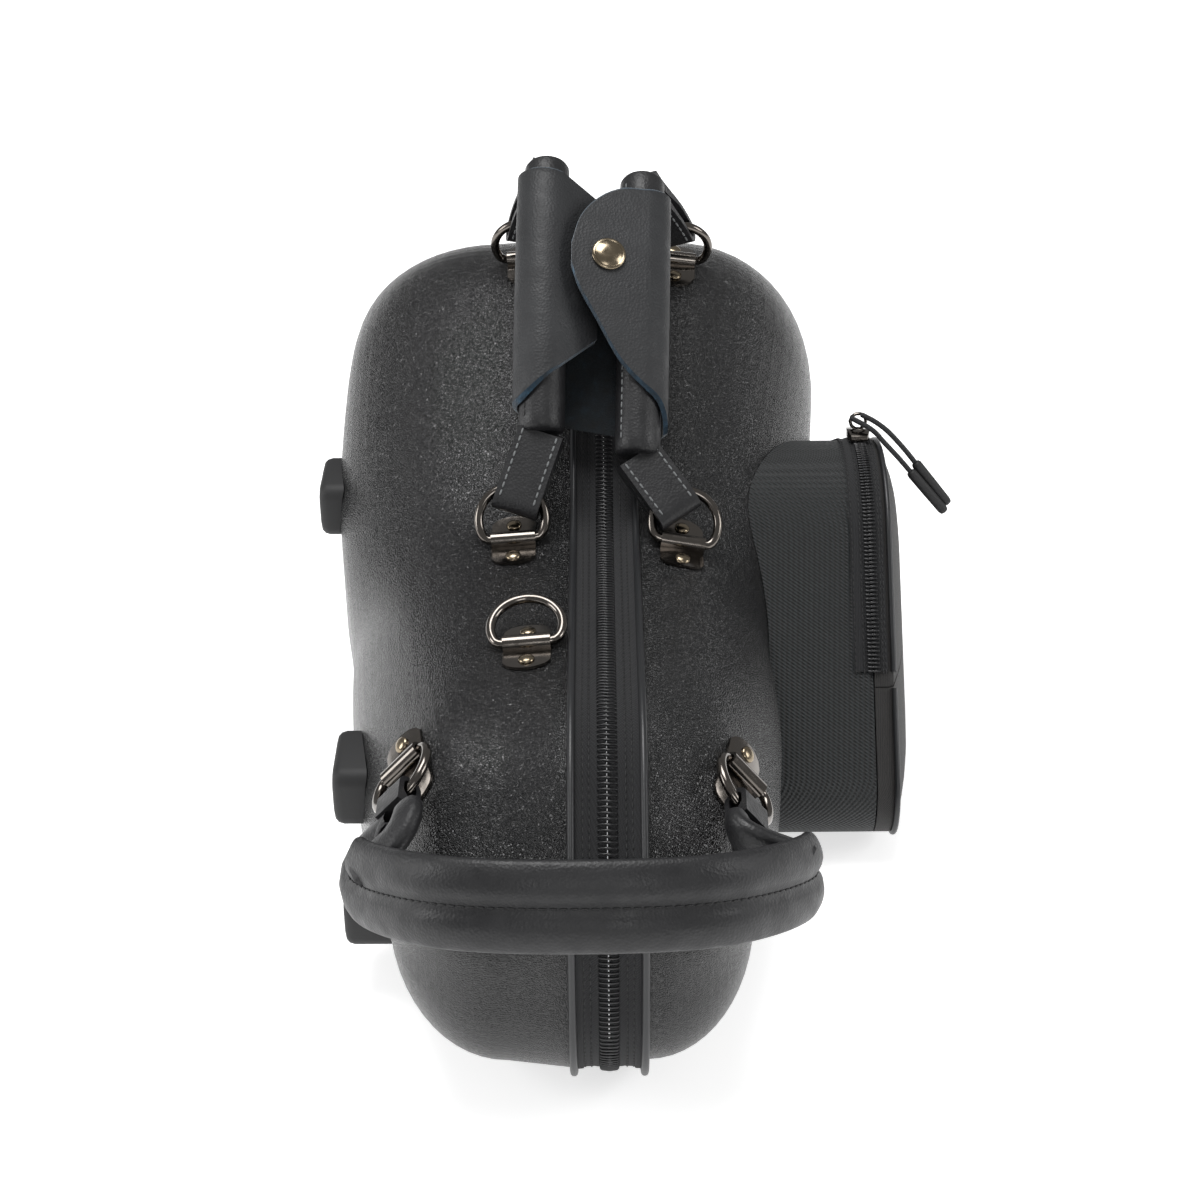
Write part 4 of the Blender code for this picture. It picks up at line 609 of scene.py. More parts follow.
def build_stage():
    scene = bpy.context.scene
    data = bpy.data.cameras.new("photo_camera")
    data.lens = CAMERA_LENS
    data.sensor_width = 36.0
    turn = Matrix()
    for degrees, axis in ((CAMERA_YAW, "Z"), (90 - CAMERA_PITCH, "X"), (CAMERA_ROLL, "Z")):
        turn = turn @ Matrix.Rotation(math.radians(degrees), 4, axis)
    scene.camera = link_object("photo_camera", data)
    scene.camera.matrix_world = Matrix.Translation(CAMERA_SPOT + SHIFT) @ turn
    mesh = bpy.data.meshes.new("floor")
    mesh.from_pydata([(FLOOR_REACH * u, FLOOR_REACH * v, 0)
                      for u, v in ((-1, -1), (1, -1), (1, 1), (-1, 1))], [], [(0, 1, 2, 3)])
    link_object("floor", mesh)
    # matt paper that glows a little, so that it stays white round the soft shadow
    mesh.materials.append(finish_material("white_paper", "#f4f4f4", 0.9,
                                          Emission_Color=(1.0, 1.0, 1.0, 1.0),
                                          Emission_Strength=FLOOR_GLOW)[0])
    scene.world = bpy.data.worlds.new("studio")
    scene.world.use_nodes = True
    tree = scene.world.node_tree
    back = tree.nodes["Background"]
    path = add(tree, "ShaderNodeLightPath")
    level = remap(tree, path.outputs["Is Camera Ray"], 0.0, 1.0, ROOM_GLOW, 1.0)
    tree.links.new(level, back.inputs["Strength"])
    back.inputs["Color"].default_value = (1.0, 1.0, 1.0, 1.0)
    for name, spot, size, power in LAMPS:
        lamp = bpy.data.lights.new(name, "AREA")
        lamp.size = size
        lamp.energy = power
        holder = link_object(name, lamp)
        holder.location = Vector(spot) + SHIFT
        way = (LAMP_AIM - Vector(spot)).normalized()
        holder.rotation_euler = way.to_track_quat("-Z", "Y").to_euler()
    scene.view_settings.view_transform = "Standard"


# ---- the two halves

RIM = fillet_outline(RIM_CORNERS)
RIM_NORMALS = inward_normals(RIM)
RIM_X = 0.0135


def top_height(y):
    height = SPINE_Z
    for here, there in zip(RIM, RIM[1:] + RIM[:1]):
        if here.x != there.x and min(here.x, there.x) <= y <= max(here.x, there.x):
            height = max(height, mix(here.y, there.y, (y - here.x) / (there.x - here.x)))
    return height


def medial_point(point):
    """The place in the middle of the outer face that a point of the rim looks at."""
    y = min(max(point.x, NOSE_Y + MEDIAL_INSET), BOW_Y - MEDIAL_INSET)
    return Vector((y, (SPINE_Z + top_height(y)) / 2))


MEDIALS = [medial_point(point) for point in RIM]


def valley_drop(side, point, x):
    """How far the shell dips beside the ridge that the zip runs on, near the narrow end."""
    low = NOSE_TOP_Z - NOSE_TOP_RADIUS
    if point.y < low or point.x > VALLEY_REACH_Y:
        return 0.0
    valley_x = VALLEY_X[side]
    if x < valley_x:
        across = smooth((x - RIM_X) / (valley_x - RIM_X))
    else:
        across = 1 - smooth((x - valley_x) / VALLEY_WIDTH)
    along = smooth((VALLEY_REACH_Y - point.x) / VALLEY_FADE)
    return VALLEY_DEPTH * across * along * smooth((point.y - low) / NOSE_TOP_RADIUS)


def skin_rings(side, inset):
    """Rings of one half's skin, from its rim to the middle of its outer face."""
    columns = []
    for point, middle in zip(RIM, MEDIALS):
        depth = eased(DEPTHS[side], point.x)
        reach = eased(EDGE_REACH[side], point.x)
        drop = eased(EDGE_DROP[side], point.x)
        places = []
        for step in range(WALL_STEPS):
            share = step / WALL_STEPS
            places.append((mix(RIM_X, depth - reach, share), SHELL_DRAFT * share + inset))
        for step in range(BEND_STEPS + 1):
            bend = math.pi / 2 * step / BEND_STEPS
            places.append((depth - reach + (reach - inset) * math.sin(bend),
                           SHELL_DRAFT + drop - (drop - inset) * math.cos(bend)))
        inwards = (middle - point).normalized()
        column = []
        for x, fall in places:
            place = point + inwards * (fall + valley_drop(side, point, x))
            column.append(Vector((side * x, place.x, place.y)))
        edge = column[-1]
        for share in FACE_SHARES:
            y = mix(edge.y, middle.x, share)
            face = eased(DEPTHS[side], y) - inset
            column.append(Vector((side * mix(abs(edge.x), face, min(1, share * FACE_RISE)), y,
                                  mix(edge.z, middle.y, share))))
        columns.append(column)
    return [list(ring) for ring in zip(*columns)]


def strip_cap(solid, row):
    """Close a ring of the rim's count with a strip between its upper and lower sides."""
    count = len(RIM)
    stop = max(range(count), key=lambda index: RIM[index].x)
    low = high = min(range(count), key=lambda index: RIM[index].x)
    while low != stop or high != stop:
        next_low = (low + 1) % count
        next_high = (high - 1) % count
        climbs = high == stop or (low != stop and RIM[next_low].x <= RIM[next_high].x)
        corners = (row[low], row[next_low if climbs else next_high], row[high])
        low, high = (next_low, high) if climbs else (low, next_high)
        if len(set(corners)) == 3:
            solid.faces.new(corners)


def nested_loft(rings):
    """A loft of rim-count rings closed with strip caps."""
    solid = loft(rings, capped=False)
    solid.verts.ensure_lookup_table()
    count = len(RIM)
    strip_cap(solid, solid.verts[:count])
    strip_cap(solid, solid.verts[-count:])
    return solid


def build_shell(side, word):
    """One moulded half with its wall; returns a search tree of its outer skin."""
    outer = skin_rings(side, 0.0)
    solid = nested_loft(list(reversed(outer)) + skin_rings(side, SHELL_WALL))
    add_piece(word + "_moulded_shell", solid, "shell", word, (word + "_shell",), 60)
    skin = nested_loft(outer)
    bmesh.ops.recalc_face_normals(skin, faces=skin.faces)
    tree = BVHTree.FromBMesh(skin)
    skin.free()
    return tree


# The zip's band: its tape lies just under the rim, with a raised binding and a piping bead
TAPE_INSET = 0.0004
TAPE_THICK = 0.0015
TAPE_SEAM = 0.0068
TAPE_DIP = 0.0002
COIL_EDGE = 0.0046
COIL_SLOPE = 0.0012
BINDING_WIDE = 0.0032
BINDING_SLOPE = 0.0006
BINDING_ROUND = 0.0005
BINDING_LIFTS = (0.0007, 0.0009, 0.0004)
BINDING_SEAM_OUT = 0.0008
PIPING_RADIUS = 0.0015
TOOTH_PITCH = 0.0023
TOOTH = ((-0.0007, 0.0009, 0.0003), (-0.0004, 0.0011, 0.00052), (0.0006, 0.0012, 0.0006),
         (0.0014, 0.0012, 0.00045), (0.0032, 0.0010, 0.00042), (0.0039, 0.0005, 0.00045),
         (0.0041, 0.0, 0.0003))
TOOTH_SINK = 0.0001
THREAD_RISE = 0.00005


def build_zip(side, word):
    """Piping bead, woven tape with a raised binding, and half of the coil."""
    spine = [index for index, p in enumerate(RIM) if p.y < SPINE_Z + GAP]
    order = [*range(spine[-1], len(RIM)), *range(spine[0] + 1)]
    path = [RIM[i] for i in order]
    normals = [RIM_NORMALS[i] for i in order]
    top = TAPE_INSET
    foot = TAPE_INSET + TAPE_THICK
    outer = RIM_X - GAP
    binding = outer - BINDING_WIDE
    near, crown, edge = BINDING_LIFTS
    tape = [(SPLIT_HALF, top), (COIL_EDGE, top), (COIL_EDGE + COIL_SLOPE, top + TAPE_DIP),
            (binding - BINDING_SLOPE, top), (binding, top - near),
            (outer - BINDING_ROUND, top - crown), (outer, top - edge), (outer, foot),
            (SPLIT_HALF, foot)]
    add_piece(word + "_tape", band(side, path, normals, tape), "tape", word,
              (word + "_zip_tape",), 40)
    bead = [(RIM_X + PIPING_RADIUS * c, -GAP - PIPING_RADIUS + PIPING_RADIUS * s)
            for c, s in circle(12)]
    add_piece(word + "_bead", band(side, path, normals, bead), "piping", word,
              (word + "_piping",), 60)
    outwards = outward(normals)
    add_teeth(word + "_coil", TOOTH, 7, beside(side * SPLIT_HALF, path, normals,
                                               top - TOOTH_SINK),
              outwards, TOOTH_PITCH, side, word)
    rows = [(beside(side * x, path, normals, top - THREAD_RISE), outwards)
            for x in (TAPE_SEAM, binding - BINDING_SEAM_OUT)]
    add_stitches(word + "_tape_stitches", rows, "tape", "thread", word)


LINING_EDGE = 0.0022
LINING_ROUND = 0.6


def build_lining(word):
    """The foam liner with softened edges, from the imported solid."""
    solid = bevel_sharp(packed_copy(word + "_liner", 1e-5, 2), LINING_EDGE, segments=3,
                        profile=LINING_ROUND)
    piece = add_piece(word + "_plush_lining", solid, "foam", word, (word + "_liner",), 60,
                      shifted=True)


# ---- seats, rings and clamps

WIRE_RADIUS = 0.002
RING_ARC_RADIUS = 0.0145
RING_BAR_HALF = 0.0117
RING_MIDDLE = math.sqrt(RING_ARC_RADIUS ** 2 - RING_BAR_HALF ** 2)
CLAMP_WIDTH = 0.019
CLAMP_REACH = 0.017
CLAMP_PLATE = 0.0012
CLAMP_ROUND = 0.006
CLAMP_ROUND_SHARE = 0.96
CLAMP_EDGE = 0.00025
LEAN_SHARE = 0.94
RIVET_REACH = 0.0112
RIVET_RADIUS = 0.0033
RIVET_RISE = 0.0015
# A rivet's dome: share of its height, share of its radius
RIVET_PROFILE = ((0, 1.0), (0.3, 1.0), (0.62, 0.9), (0.88, 0.6), (1.0, 0.22))
# Side, x, y, and either the lean or the tube end that the ring is pulled to
RING_PLACES = {
    "base_near": (-1, 0.039, -0.099, GRIPS["base"][0]),
    "base_far": (-1, 0.035, 0.056, GRIPS["base"][1]),
    "strap": (-1, 0.031, -0.191, math.radians(68)),
    "base_end": (-1, 0.075, -0.248, math.radians(-70)),
    "lid_near": (1, 0.033, -0.099, GRIPS["lid"][0]),
    "lid_far": (1, 0.034, 0.056, GRIPS["lid"][1]),
    "lid_end": (1, 0.05, -0.248, math.radians(-70)),
}
PROBE_RISE = 0.02


class Seat:
    """A place on a shell: origin, across (ex), uphill along the case (ev), out (en)."""

    def __init__(self, tree, side, x, y):
        hit, normal, _, _ = tree.ray_cast(Vector((side * x, y, PROBE_OUT)), -Z_AXIS)
        self.tree = tree
        self.origin = hit
        self.en = normal
        self.ev = (Vector((0, 1, 0)) - normal * normal.y).normalized()
        self.ex = self.ev.cross(self.en)
        reach = RING_BAR_HALF + WIRE_RADIUS * 2
        self.origin = hit + normal * max(0.0, self.rise(-reach, 0), self.rise(reach, 0))

    def place(self, a, b, c):
        return self.origin + self.ex * a + self.ev * b + self.en * c

    def rise(self, a, b):
        """How far the shell stands over the seat's plane there."""
        start = self.place(a, b, PROBE_RISE)
        hit = self.tree.ray_cast(start, -self.en)[0]
        return PROBE_RISE - (start - hit).length if hit else 0.0

    def bar(self):
        return self.place(0, 0, GAP + RUN_GAP + WIRE_RADIUS)

    def lean_up(self, lean):
        return self.en * math.cos(lean) + self.ev * math.sin(lean)

    def lean_towards(self, point):
        pull = point - self.bar()
        return math.atan2(pull.dot(self.ev), pull.dot(self.en))

    def hold(self, lean, point):
        """Where a strap to the point pulls on the ring's wire, and the wire's way there."""
        up = self.lean_up(lean)
        facing = self.ex.cross(up)
        centre = self.bar() + up * RING_MIDDLE
        pull = point - centre
        pull = (pull - facing * pull.dot(facing)).normalized()
        return centre + pull * RING_ARC_RADIUS, facing.cross(pull)

    def ring_top(self, lean):
        return self.bar() + self.lean_up(lean) * (RING_MIDDLE + RING_ARC_RADIUS)


def ring_line(seat, lean):
    """Centre line of a D ring with softly bent corners."""
    up = seat.lean_up(lean)
    start = -math.atan2(RING_MIDDLE, RING_BAR_HALF)
    sweep = math.pi - 2 * start
    loop = []
    for step in range(41):
        turn = start + sweep * step / 40
        loop.append(Vector((RING_ARC_RADIUS * math.cos(turn),
                            RING_MIDDLE + RING_ARC_RADIUS * math.sin(turn))))
    loop += [Vector((mix(-RING_BAR_HALF, RING_BAR_HALF, step / 9), 0.0)) for step in range(1, 9)]
    for _ in range(2):
        loop = [(loop[i - 1] + loop[i] * 2 + loop[(i + 1) % len(loop)]) / 4
                for i in range(len(loop))]
    return [seat.bar() + seat.ex * p.x + up * p.y for p in loop]


def clamp_solid(seat):
    """A pressed plate bent to the shell, rolled over the ring's bar, with round ends."""
    hump_in = WIRE_RADIUS + RUN_GAP
    hump_out = hump_in + CLAMP_PLATE
    count = 12
    sections = []
    for place in range(count + 1):
        across = mix(-CLAMP_WIDTH / 2, CLAMP_WIDTH / 2, place / count)
        bow = (abs(across) / (CLAMP_WIDTH / 2)) ** 2 * CLAMP_ROUND_SHARE
        end = CLAMP_REACH - CLAMP_ROUND * (1 - math.sqrt(max(0, 1 - bow)))
        # (place along, height, place whose shell height it follows) over and under the plate
        over, under = [], []
        for step in range(7):
            b = mix(-end, -hump_out, step / 6)
            over.append((b, CLAMP_PLATE, b))
            under.append((b if step < 6 else -hump_in, 0.0, b))
        for step in range(13):
            turn = math.pi * (1 - step / 12)
            over.append((hump_out * math.cos(turn), hump_in + hump_out * math.sin(turn), 0.0))
            under.append((hump_in * math.cos(turn), hump_in + hump_in * math.sin(turn), 0.0))
        for step in range(7):
            b = mix(hump_out, end, step / 6)
            over.append((b, CLAMP_PLATE, b))
            under.append((b if step else hump_in, 0.0, b))
        section = []
        for along, height, foot in over + list(reversed(under)):
            lift = GAP + height + (seat.rise(across, foot) if foot else 0.0)
            section.append(seat.place(across, along, lift))
        sections.append(section)
    return bevel_sharp(loft(sections), CLAMP_EDGE, 60, held=False)


def build_rings(trees):
    """Clamps, their rivets and the D rings; returns each ring's seat and lean."""
    seats = {}
    heads = {"base": ([], []), "lid": ([], [])}
    for word, (side, x, y, pull) in RING_PLACES.items():
        seat = Seat(trees[side], side, x, y)
        lean = pull if isinstance(pull, float) else seat.lean_towards(pull) * LEAN_SHARE
        seats[word] = (seat, lean)
        half = "lid" if word.startswith("lid") else "base"
        add_piece(word + "_plate", clamp_solid(seat), "nickel", half, (word + "_clamp",), 35)
        ring = tube(ring_line(seat, lean), WIRE_RADIUS, 14, closed=True, hint=seat.en)
        add_piece(word + "_d_ring", ring, "nickel", word + "_ring_body", (word + "_ring",), 60)
        for b in (-RIVET_REACH, RIVET_REACH):
            heads[half][0].append(seat.place(0, b, seat.rise(0, b) + GAP + CLAMP_PLATE))
            heads[half][1].append(seat.en)
    for half, spots in heads.items():
        head = loft([[Vector((RIVET_RADIUS * size * c, RIVET_RADIUS * size * s,
                              RIVET_RISE * rise)) for c, s in circle(16)]
                     for rise, size in RIVET_PROFILE])
        add_copies(half + "_rivets", head, [spots], "brass", half)
    return seats


# ---- handles

# A tube's end: distance from its tip, share of its radius
GRIP_END = ((0.0, 0.62), (0.0004, 0.8), (0.0012, 0.92), (0.0026, 1.0))
GRIP_SEAM = (-0.72, 0.69)
SEAM_RISE = 0.0001
# A strap's width, reach past the wire, slot for the wire and ply, then its sewn length
STRAP = (0.02, 0.012, 0.0058, 0.0022, 0.007)
END_LOOP = (0.013, 0.007, 0.0058, 0.0022, 0.003)
STRAP_EDGE = 0.0005
STRAP_PINCH = 0.85
STRAP_PINCH_AT = (0.45, 0.95)
STRAP_SEAM_IN = 0.0024
STRAP_SEAM_ENDS = (0.001, 0.002)
FAR_TAPER = 0.35


def grip_up(start, end):
    return X_AXIS.cross(end - start).normalized()


def build_grip(word):
    """A leather-covered tube, slightly arched, with tucked ends and a stitched seam."""
    start, end = GRIPS[word]
    up = grip_up(start, end)
    path = [start.lerp(end, step / 40) + up * (GRIP_ARCH * math.sin(math.pi * step / 40))
            for step in range(41)]
    along = (path[1] - path[0]).normalized()
    back = (path[-2] - path[-1]).normalized()
    points = [path[0] + along * step for step, _ in GRIP_END] + path[2:-2]
    points += [path[-1] + back * step for step, _ in reversed(GRIP_END)]
    tip = [GRIP_RADIUS * size for _, size in GRIP_END]
    radii = tip + [GRIP_RADIUS] * (len(path) - 4) + tip[::-1]
    add_piece(word + "_leather_tube", tube(points, radii, 28, hint=X_AXIS), "leather",
              word + "_handle", (word + "_grip",))
    out = X_AXIS * GRIP_SEAM[0] + up * GRIP_SEAM[1]
    line = [p + out * (GRIP_RADIUS + SEAM_RISE) for p in path[2:-2]]
    add_stitches(word + "_tube_seam", [(line, [out] * len(line))], "tube",
                 "pale_thread" if word == "lid" else "thread", word + "_handle")


def build_tab(name, node, body, wire, grip, across, size, taper=0.0, threads=True):
    """A strap folded round a ring's wire, its plies stitched together along both edges."""
    width, past, slot, ply, sewn = size
    along = (grip - wire).normalized()
    wide = (across - along * across.dot(along)).normalized()
    thick = along.cross(wide)
    length = (grip - wire).length - GAP
    outer_half = slot / 2 + ply
    fold = outer_half - past
    first, last = STRAP_PINCH_AT
    seam_low, seam_high = fold + STRAP_SEAM_ENDS[0], length - STRAP_SEAM_ENDS[1]
    outer, inner = [], []
    for step in range(17):
        turn = math.pi / 2 + math.pi * step / 16
        outer.append((fold + outer_half * math.cos(turn), outer_half * math.sin(turn)))
        inner.append((fold + slot / 2 * math.cos(turn), slot / 2 * math.sin(turn)))
    for sign in (-1, 1):
        for step in range(1, 7)[::-sign]:
            share = step / 6
            outer.append((mix(fold, length, share), sign * outer_half))
            pinch = 1 - STRAP_PINCH * smooth((share - first) / (last - first))
            inner.append((mix(fold, length - sewn, share), sign * slot / 2 * pinch))
    rings = [[wire + along * u + thick * v + wide * (width * w * (1 - taper * smooth(u / length)))
              for u, v in outline]
             for outline, w in ((outer, -0.5), (outer, -0.25), (outer, 0.25), (outer, 0.5),
                                (inner, 0.5), (inner, -0.5))]
    solid = bevel_sharp(loft(rings, closed=True), STRAP_EDGE)
    add_piece(name, solid, "leather", body, (node,), 40)
    if not threads:
        return
    lines = []
    for edge in (-1, 1):
        for sign in (-1, 1):
            spots = [wire + along * mix(seam_low, seam_high, step / 8)
                     + thick * (sign * (outer_half + SEAM_RISE))
                     + wide * (edge * (width / 2 - STRAP_SEAM_IN)
                               * (1 - taper * smooth(step / 8))) for step in range(9)]
            lines.append((spots, [thick * sign] * 9))
    add_stitches(name + "_thread", lines, "strap", "pale_thread", body)


# The snapped wrap. Shares are places along the tubes, from the near end to the far one.
WRAP_PLY = 0.002
WRAP_CLEAR = 0.0012
WRAP_RADIUS = GRIP_RADIUS + WRAP_CLEAR + WRAP_PLY / 2
WRAP_STEPS = 26
WRAP_SLOPE = math.radians(30)
WRAP_TAIL = 0.02
WRAP_TAIL_ENDS = (0.36, 0.88)
WRAP_START = 0.08
WRAP_TOP_START = 0.21
WRAP_LID_START = 0.1
WRAP_END = 0.93
# Angles between which the near edge runs out round the base's tube, in degrees
WRAP_CORNER = (30, 160)
WRAP_FIRST = 60
SKIVE = 0.0016
FLAP_RISE = 0.0032
FLAP_TIP = 0.76
# The flap's near and far edge over the places across it, from the lid's tube to its tip
FLAP_STARTS = ((-0.5, 0.0973), (-0.25, 0.17), (0, 0.21), (0.25, 0.2776), (0.5, 0.4024),
               (0.68, 0.496), (0.76, 0.5688))
FLAP_ENDS = ((-0.5, 0.93), (-0.25, 0.92), (0, 0.905), (0.25, 0.89), (0.5, 0.83),
             (0.68, 0.7406), (0.76, 0.637))
SNAP_SHARE = 0.62
SNAP_RADIUS = 0.0075
SNAP_HEIGHT = 0.0026
# The snap's cap: share of its height, share of its radius, with a ring groove
SNAP_PROFILE = ((0, 0.96), (0.12, 1.0), (0.4, 1.0), (0.55, 0.95), (0.6, 0.88), (0.52, 0.82),
                (0.62, 0.76), (0.86, 0.55), (0.97, 0.3), (1.0, 0.08))


def wrap_frame(share):
    """Centre of the base's tube at a share of its length, the ways across and up, the span."""
    (base_start, base_end), (lid_start, lid_end) = GRIPS["base"], GRIPS["lid"]
    up = grip_up(base_start, base_end)
    arch = up * (GRIP_ARCH * math.sin(math.pi * share))
    base = base_start.lerp(base_end, share) + arch
    lid = lid_start.lerp(lid_end, share) + arch
    across = (lid - base).normalized()
    return base, across, (up - across * up.dot(across)).normalized(), (lid - base).length


def build_sheet(name, node, body, places):
    """Leather round the tubes with its suede side in; places are (lane, out, start, end)."""
    solid = bmesh.new()
    lanes = []
    tube_way = (GRIPS["base"][1] - GRIPS["base"][0]).normalized()
    for lane, out_share, start, end in places:
        tops, bottoms = [], []
        for step in range(WRAP_STEPS + 1):
            base, across, lift, gap = wrap_frame(mix(start, end, step / WRAP_STEPS))
            u, v = lane(gap)
            out = across * out_share[0] + lift * out_share[1]
            middle = base + across * u + lift * v
            skive = tube_way * {0: -SKIVE, WRAP_STEPS: SKIVE}.get(step, 0.0)
            tops.append(solid.verts.new(middle + out * (WRAP_PLY / 2)))
            bottoms.append(solid.verts.new(middle - out * (WRAP_PLY / 2) + skive))
        lanes.append((tops, bottoms))

    def face(finish, *corners):
        solid.faces.new(corners).material_index = finish

    for (top, low), (next_top, next_low) in zip(lanes, lanes[1:]):
        for row in range(WRAP_STEPS):
            face(0, top[row], top[row + 1], next_top[row + 1], next_top[row])
            face(1, low[row], next_low[row], next_low[row + 1], low[row + 1])
        face(2, top[0], next_top[0], next_low[0], low[0])
        face(2, top[-1], low[-1], next_low[-1], next_top[-1])
    for top, low in (lanes[0], lanes[-1]):
        for row in range(WRAP_STEPS):
            face(2, top[row], low[row], low[row + 1], top[row + 1])
    add_piece(name, solid, ("wrap", "suede", "edge"), body, (node,), 45)


def turned(angle, on_lid):
    """A lane round one tube, and its outward direction."""
    cosine, sine = math.cos(math.radians(angle)), math.sin(math.radians(angle))
    return (lambda gap: (gap * on_lid + WRAP_RADIUS * cosine, WRAP_RADIUS * sine)), (cosine, sine)


def build_wrap():
    """Over the base's tube, under both, round the lid's tube, and back over as the flap."""
    slant, level = math.sin(WRAP_SLOPE), math.cos(WRAP_SLOPE)
    places = []
    for share in (1.0, 0.8, 0.6, 0.4, 0.2):
        spot = (WRAP_RADIUS * slant + WRAP_TAIL * share * level,
                WRAP_RADIUS * level - WRAP_TAIL * share * slant)
        places.append((lambda gap, spot=spot: spot, (slant, level),
                       mix(WRAP_TOP_START, WRAP_TAIL_ENDS[0], share),
                       mix(WRAP_END, WRAP_TAIL_ENDS[1], share)))
    first, last = WRAP_CORNER
    for angle in range(WRAP_FIRST, 271, 10):
        run_out = (smooth((last - angle) / (last - first))
                   / smooth((last - WRAP_FIRST) / (last - first)))
        start = mix(WRAP_START, WRAP_TOP_START, run_out)
        places.append((*turned(angle, 0), start, WRAP_END))
    for angle in range(270, 361, 10):
        places.append((*turned(angle, 1), WRAP_LID_START, WRAP_END))
    build_sheet("grip_wrap", "handle_wrap", "base_handle", places)
    places = [(*turned(angle, 1), -0.5 * (90 - angle) / 90) for angle in range(12, 90, 6)]
    for step in range(17):
        place = FLAP_TIP * math.sin(math.pi / 2 * step / 16)
        places.append((lambda gap, place=place: (gap * (1 - place),
                                                 WRAP_RADIUS + FLAP_RISE * place),
                       (0.0, 1.0), place))
    build_sheet("grip_wrap_flap", "wrap_flap", "wrap_flap_body",
                [(lane, out, eased(FLAP_STARTS, place), eased(FLAP_ENDS, place))
                 for lane, out, place in places])
    base, across, lift, gap = wrap_frame(SNAP_SHARE)
    top = GRIP_RADIUS + WRAP_CLEAR + WRAP_PLY + FLAP_RISE * (1 - SNAP_SHARE) + GAP * 2
    up = (lift + across * (FLAP_RISE / gap)).normalized()
    side = (across - up * across.dot(up)).normalized()
    other = up.cross(side)
    centre = base + across * (gap * SNAP_SHARE) + lift * top
    rings = [[centre + up * (SNAP_HEIGHT * rise) + (side * c + other * s) * (SNAP_RADIUS * size)
              for c, s in circle(32)] for rise, size in SNAP_PROFILE]
    add_piece("snap_button", loft(rings), "brass", "wrap_flap_body", ("snap_cap",), 35)


# The padded strap across the narrow end
END_SIDES_X = (-0.0915, 0.0735)
END_SIDE = (-0.294, 0.108)
END_FRONT = (-0.343, 0.132)
# Places of its route: share across its half span, share from its sides to its front
END_ROUTE = ((-1, 0), (-0.62, 0.8), (0, 1), (0.62, 0.8), (1, 0))
END_TIPS = (0.0135, 0.019)
END_LOOP_LONG = 0.009
END_TILT = math.radians(24)
END_WIDTHS = (0.018, 0.033)
END_WIDENS_BY = 0.14
END_FILLS_BY = 0.1
END_SIDE_ROUND = 0.85
LOBE_HALF = 0.0055
LOBE_ROUND = 0.75
LOBE_AT_ENDS = 0.55
LOBE_SPREAD = 1.1
LOBE_CROWN = 0.86
GROOVE_CUT = 0.42
GROOVE_HALF = 0.13
GROOVE_THREAD = 0.0002


def build_end_handle(seats):
    """The padded strap across the narrow end: two stuffed lobes sewn along the middle."""
    tips = {}
    for word in ("base", "lid"):
        seat, lean = seats[word + "_end"]
        wire = seat.ring_top(lean)
        up = seat.lean_up(lean)
        tips[word] = [wire + up * reach for reach in END_TIPS]
        build_tab(word + "_end_loop_strap", word + "_end_loop", "end_handle_body", wire,
                  wire + up * END_LOOP_LONG, seat.ex, END_LOOP, threads=False)
    middle = sum(END_SIDES_X) / 2
    half = END_SIDES_X[1] - middle
    route = [Vector((middle + half * u, *Vector(END_SIDE).lerp(Vector(END_FRONT), v)))
             for u, v in END_ROUTE]
    path = spline([*tips["base"], *route, *reversed(tips["lid"])], 12)
    count = len(path)
    ways = [(path[min(i + 1, count - 1)] - path[max(i - 1, 0)]).normalized() for i in range(count)]
    # each section faces like its neighbour, so the strap doesn't twist
    fronts = {count // 2: Vector((0, -math.cos(END_TILT), math.sin(END_TILT)))}
    for order in (range(count // 2 + 1, count), range(count // 2 - 1, -1, -1)):
        front = fronts[count // 2]
        for index in order:
            front = (front - ways[index] * front.dot(ways[index])).normalized()
            fronts[index] = front
    rings, seam, faces = [], [], []
    for index, here in enumerate(path):
        share = min(index, count - 1 - index) / (count - 1)
        width = mix(*END_WIDTHS, smooth(share / END_WIDENS_BY))
        face = fronts[index]
        wide = ways[index].cross(face)
        thick = LOBE_HALF * mix(LOBE_AT_ENDS, 1.0, smooth(share / END_FILLS_BY))
        ring = []
        for u, v in circle(40):
            groove = GROOVE_CUT * math.exp(-(u / GROOVE_HALF) ** 2) * (v > 0)
            crown = math.sin(math.pi * min(1, abs(u) * LOBE_SPREAD))
            bulge = abs(v) ** LOBE_ROUND * (1 - groove) * mix(LOBE_CROWN, 1.0, crown)
            ring.append(here + wide * (width / 2 * math.copysign(abs(u) ** END_SIDE_ROUND, u))
                        + face * (thick * math.copysign(bulge, v)))
        rings.append(ring)
        if 3 < index < count - 4:
            seam.append(here + face * (thick * LOBE_CROWN * (1 - GROOVE_CUT) + GROOVE_THREAD))
            faces.append(face)
    strap = add_piece("padded_end_strap", loft(rings), "leather", "end_handle_body",
                      ("end_handle",), 60)
    add_stitches("end_strap_seam", [(seam, faces)], "end", "thread", "end_handle_body")


def build_handles(seats):
    for word in ("base", "lid"):
        build_grip(word)
        for place, taper, point in zip(("near", "far"), (0.0, FAR_TAPER), GRIPS[word]):
            seat, lean = seats[word + "_" + place]
            wire, across = seat.hold(lean, point)
            build_tab(f"{word}_{place}_strap", f"{word}_{place}_tab", word + "_handle", wire, point,
                      across, STRAP, taper)
    build_wrap()
    build_end_handle(seats)


# ---- feet

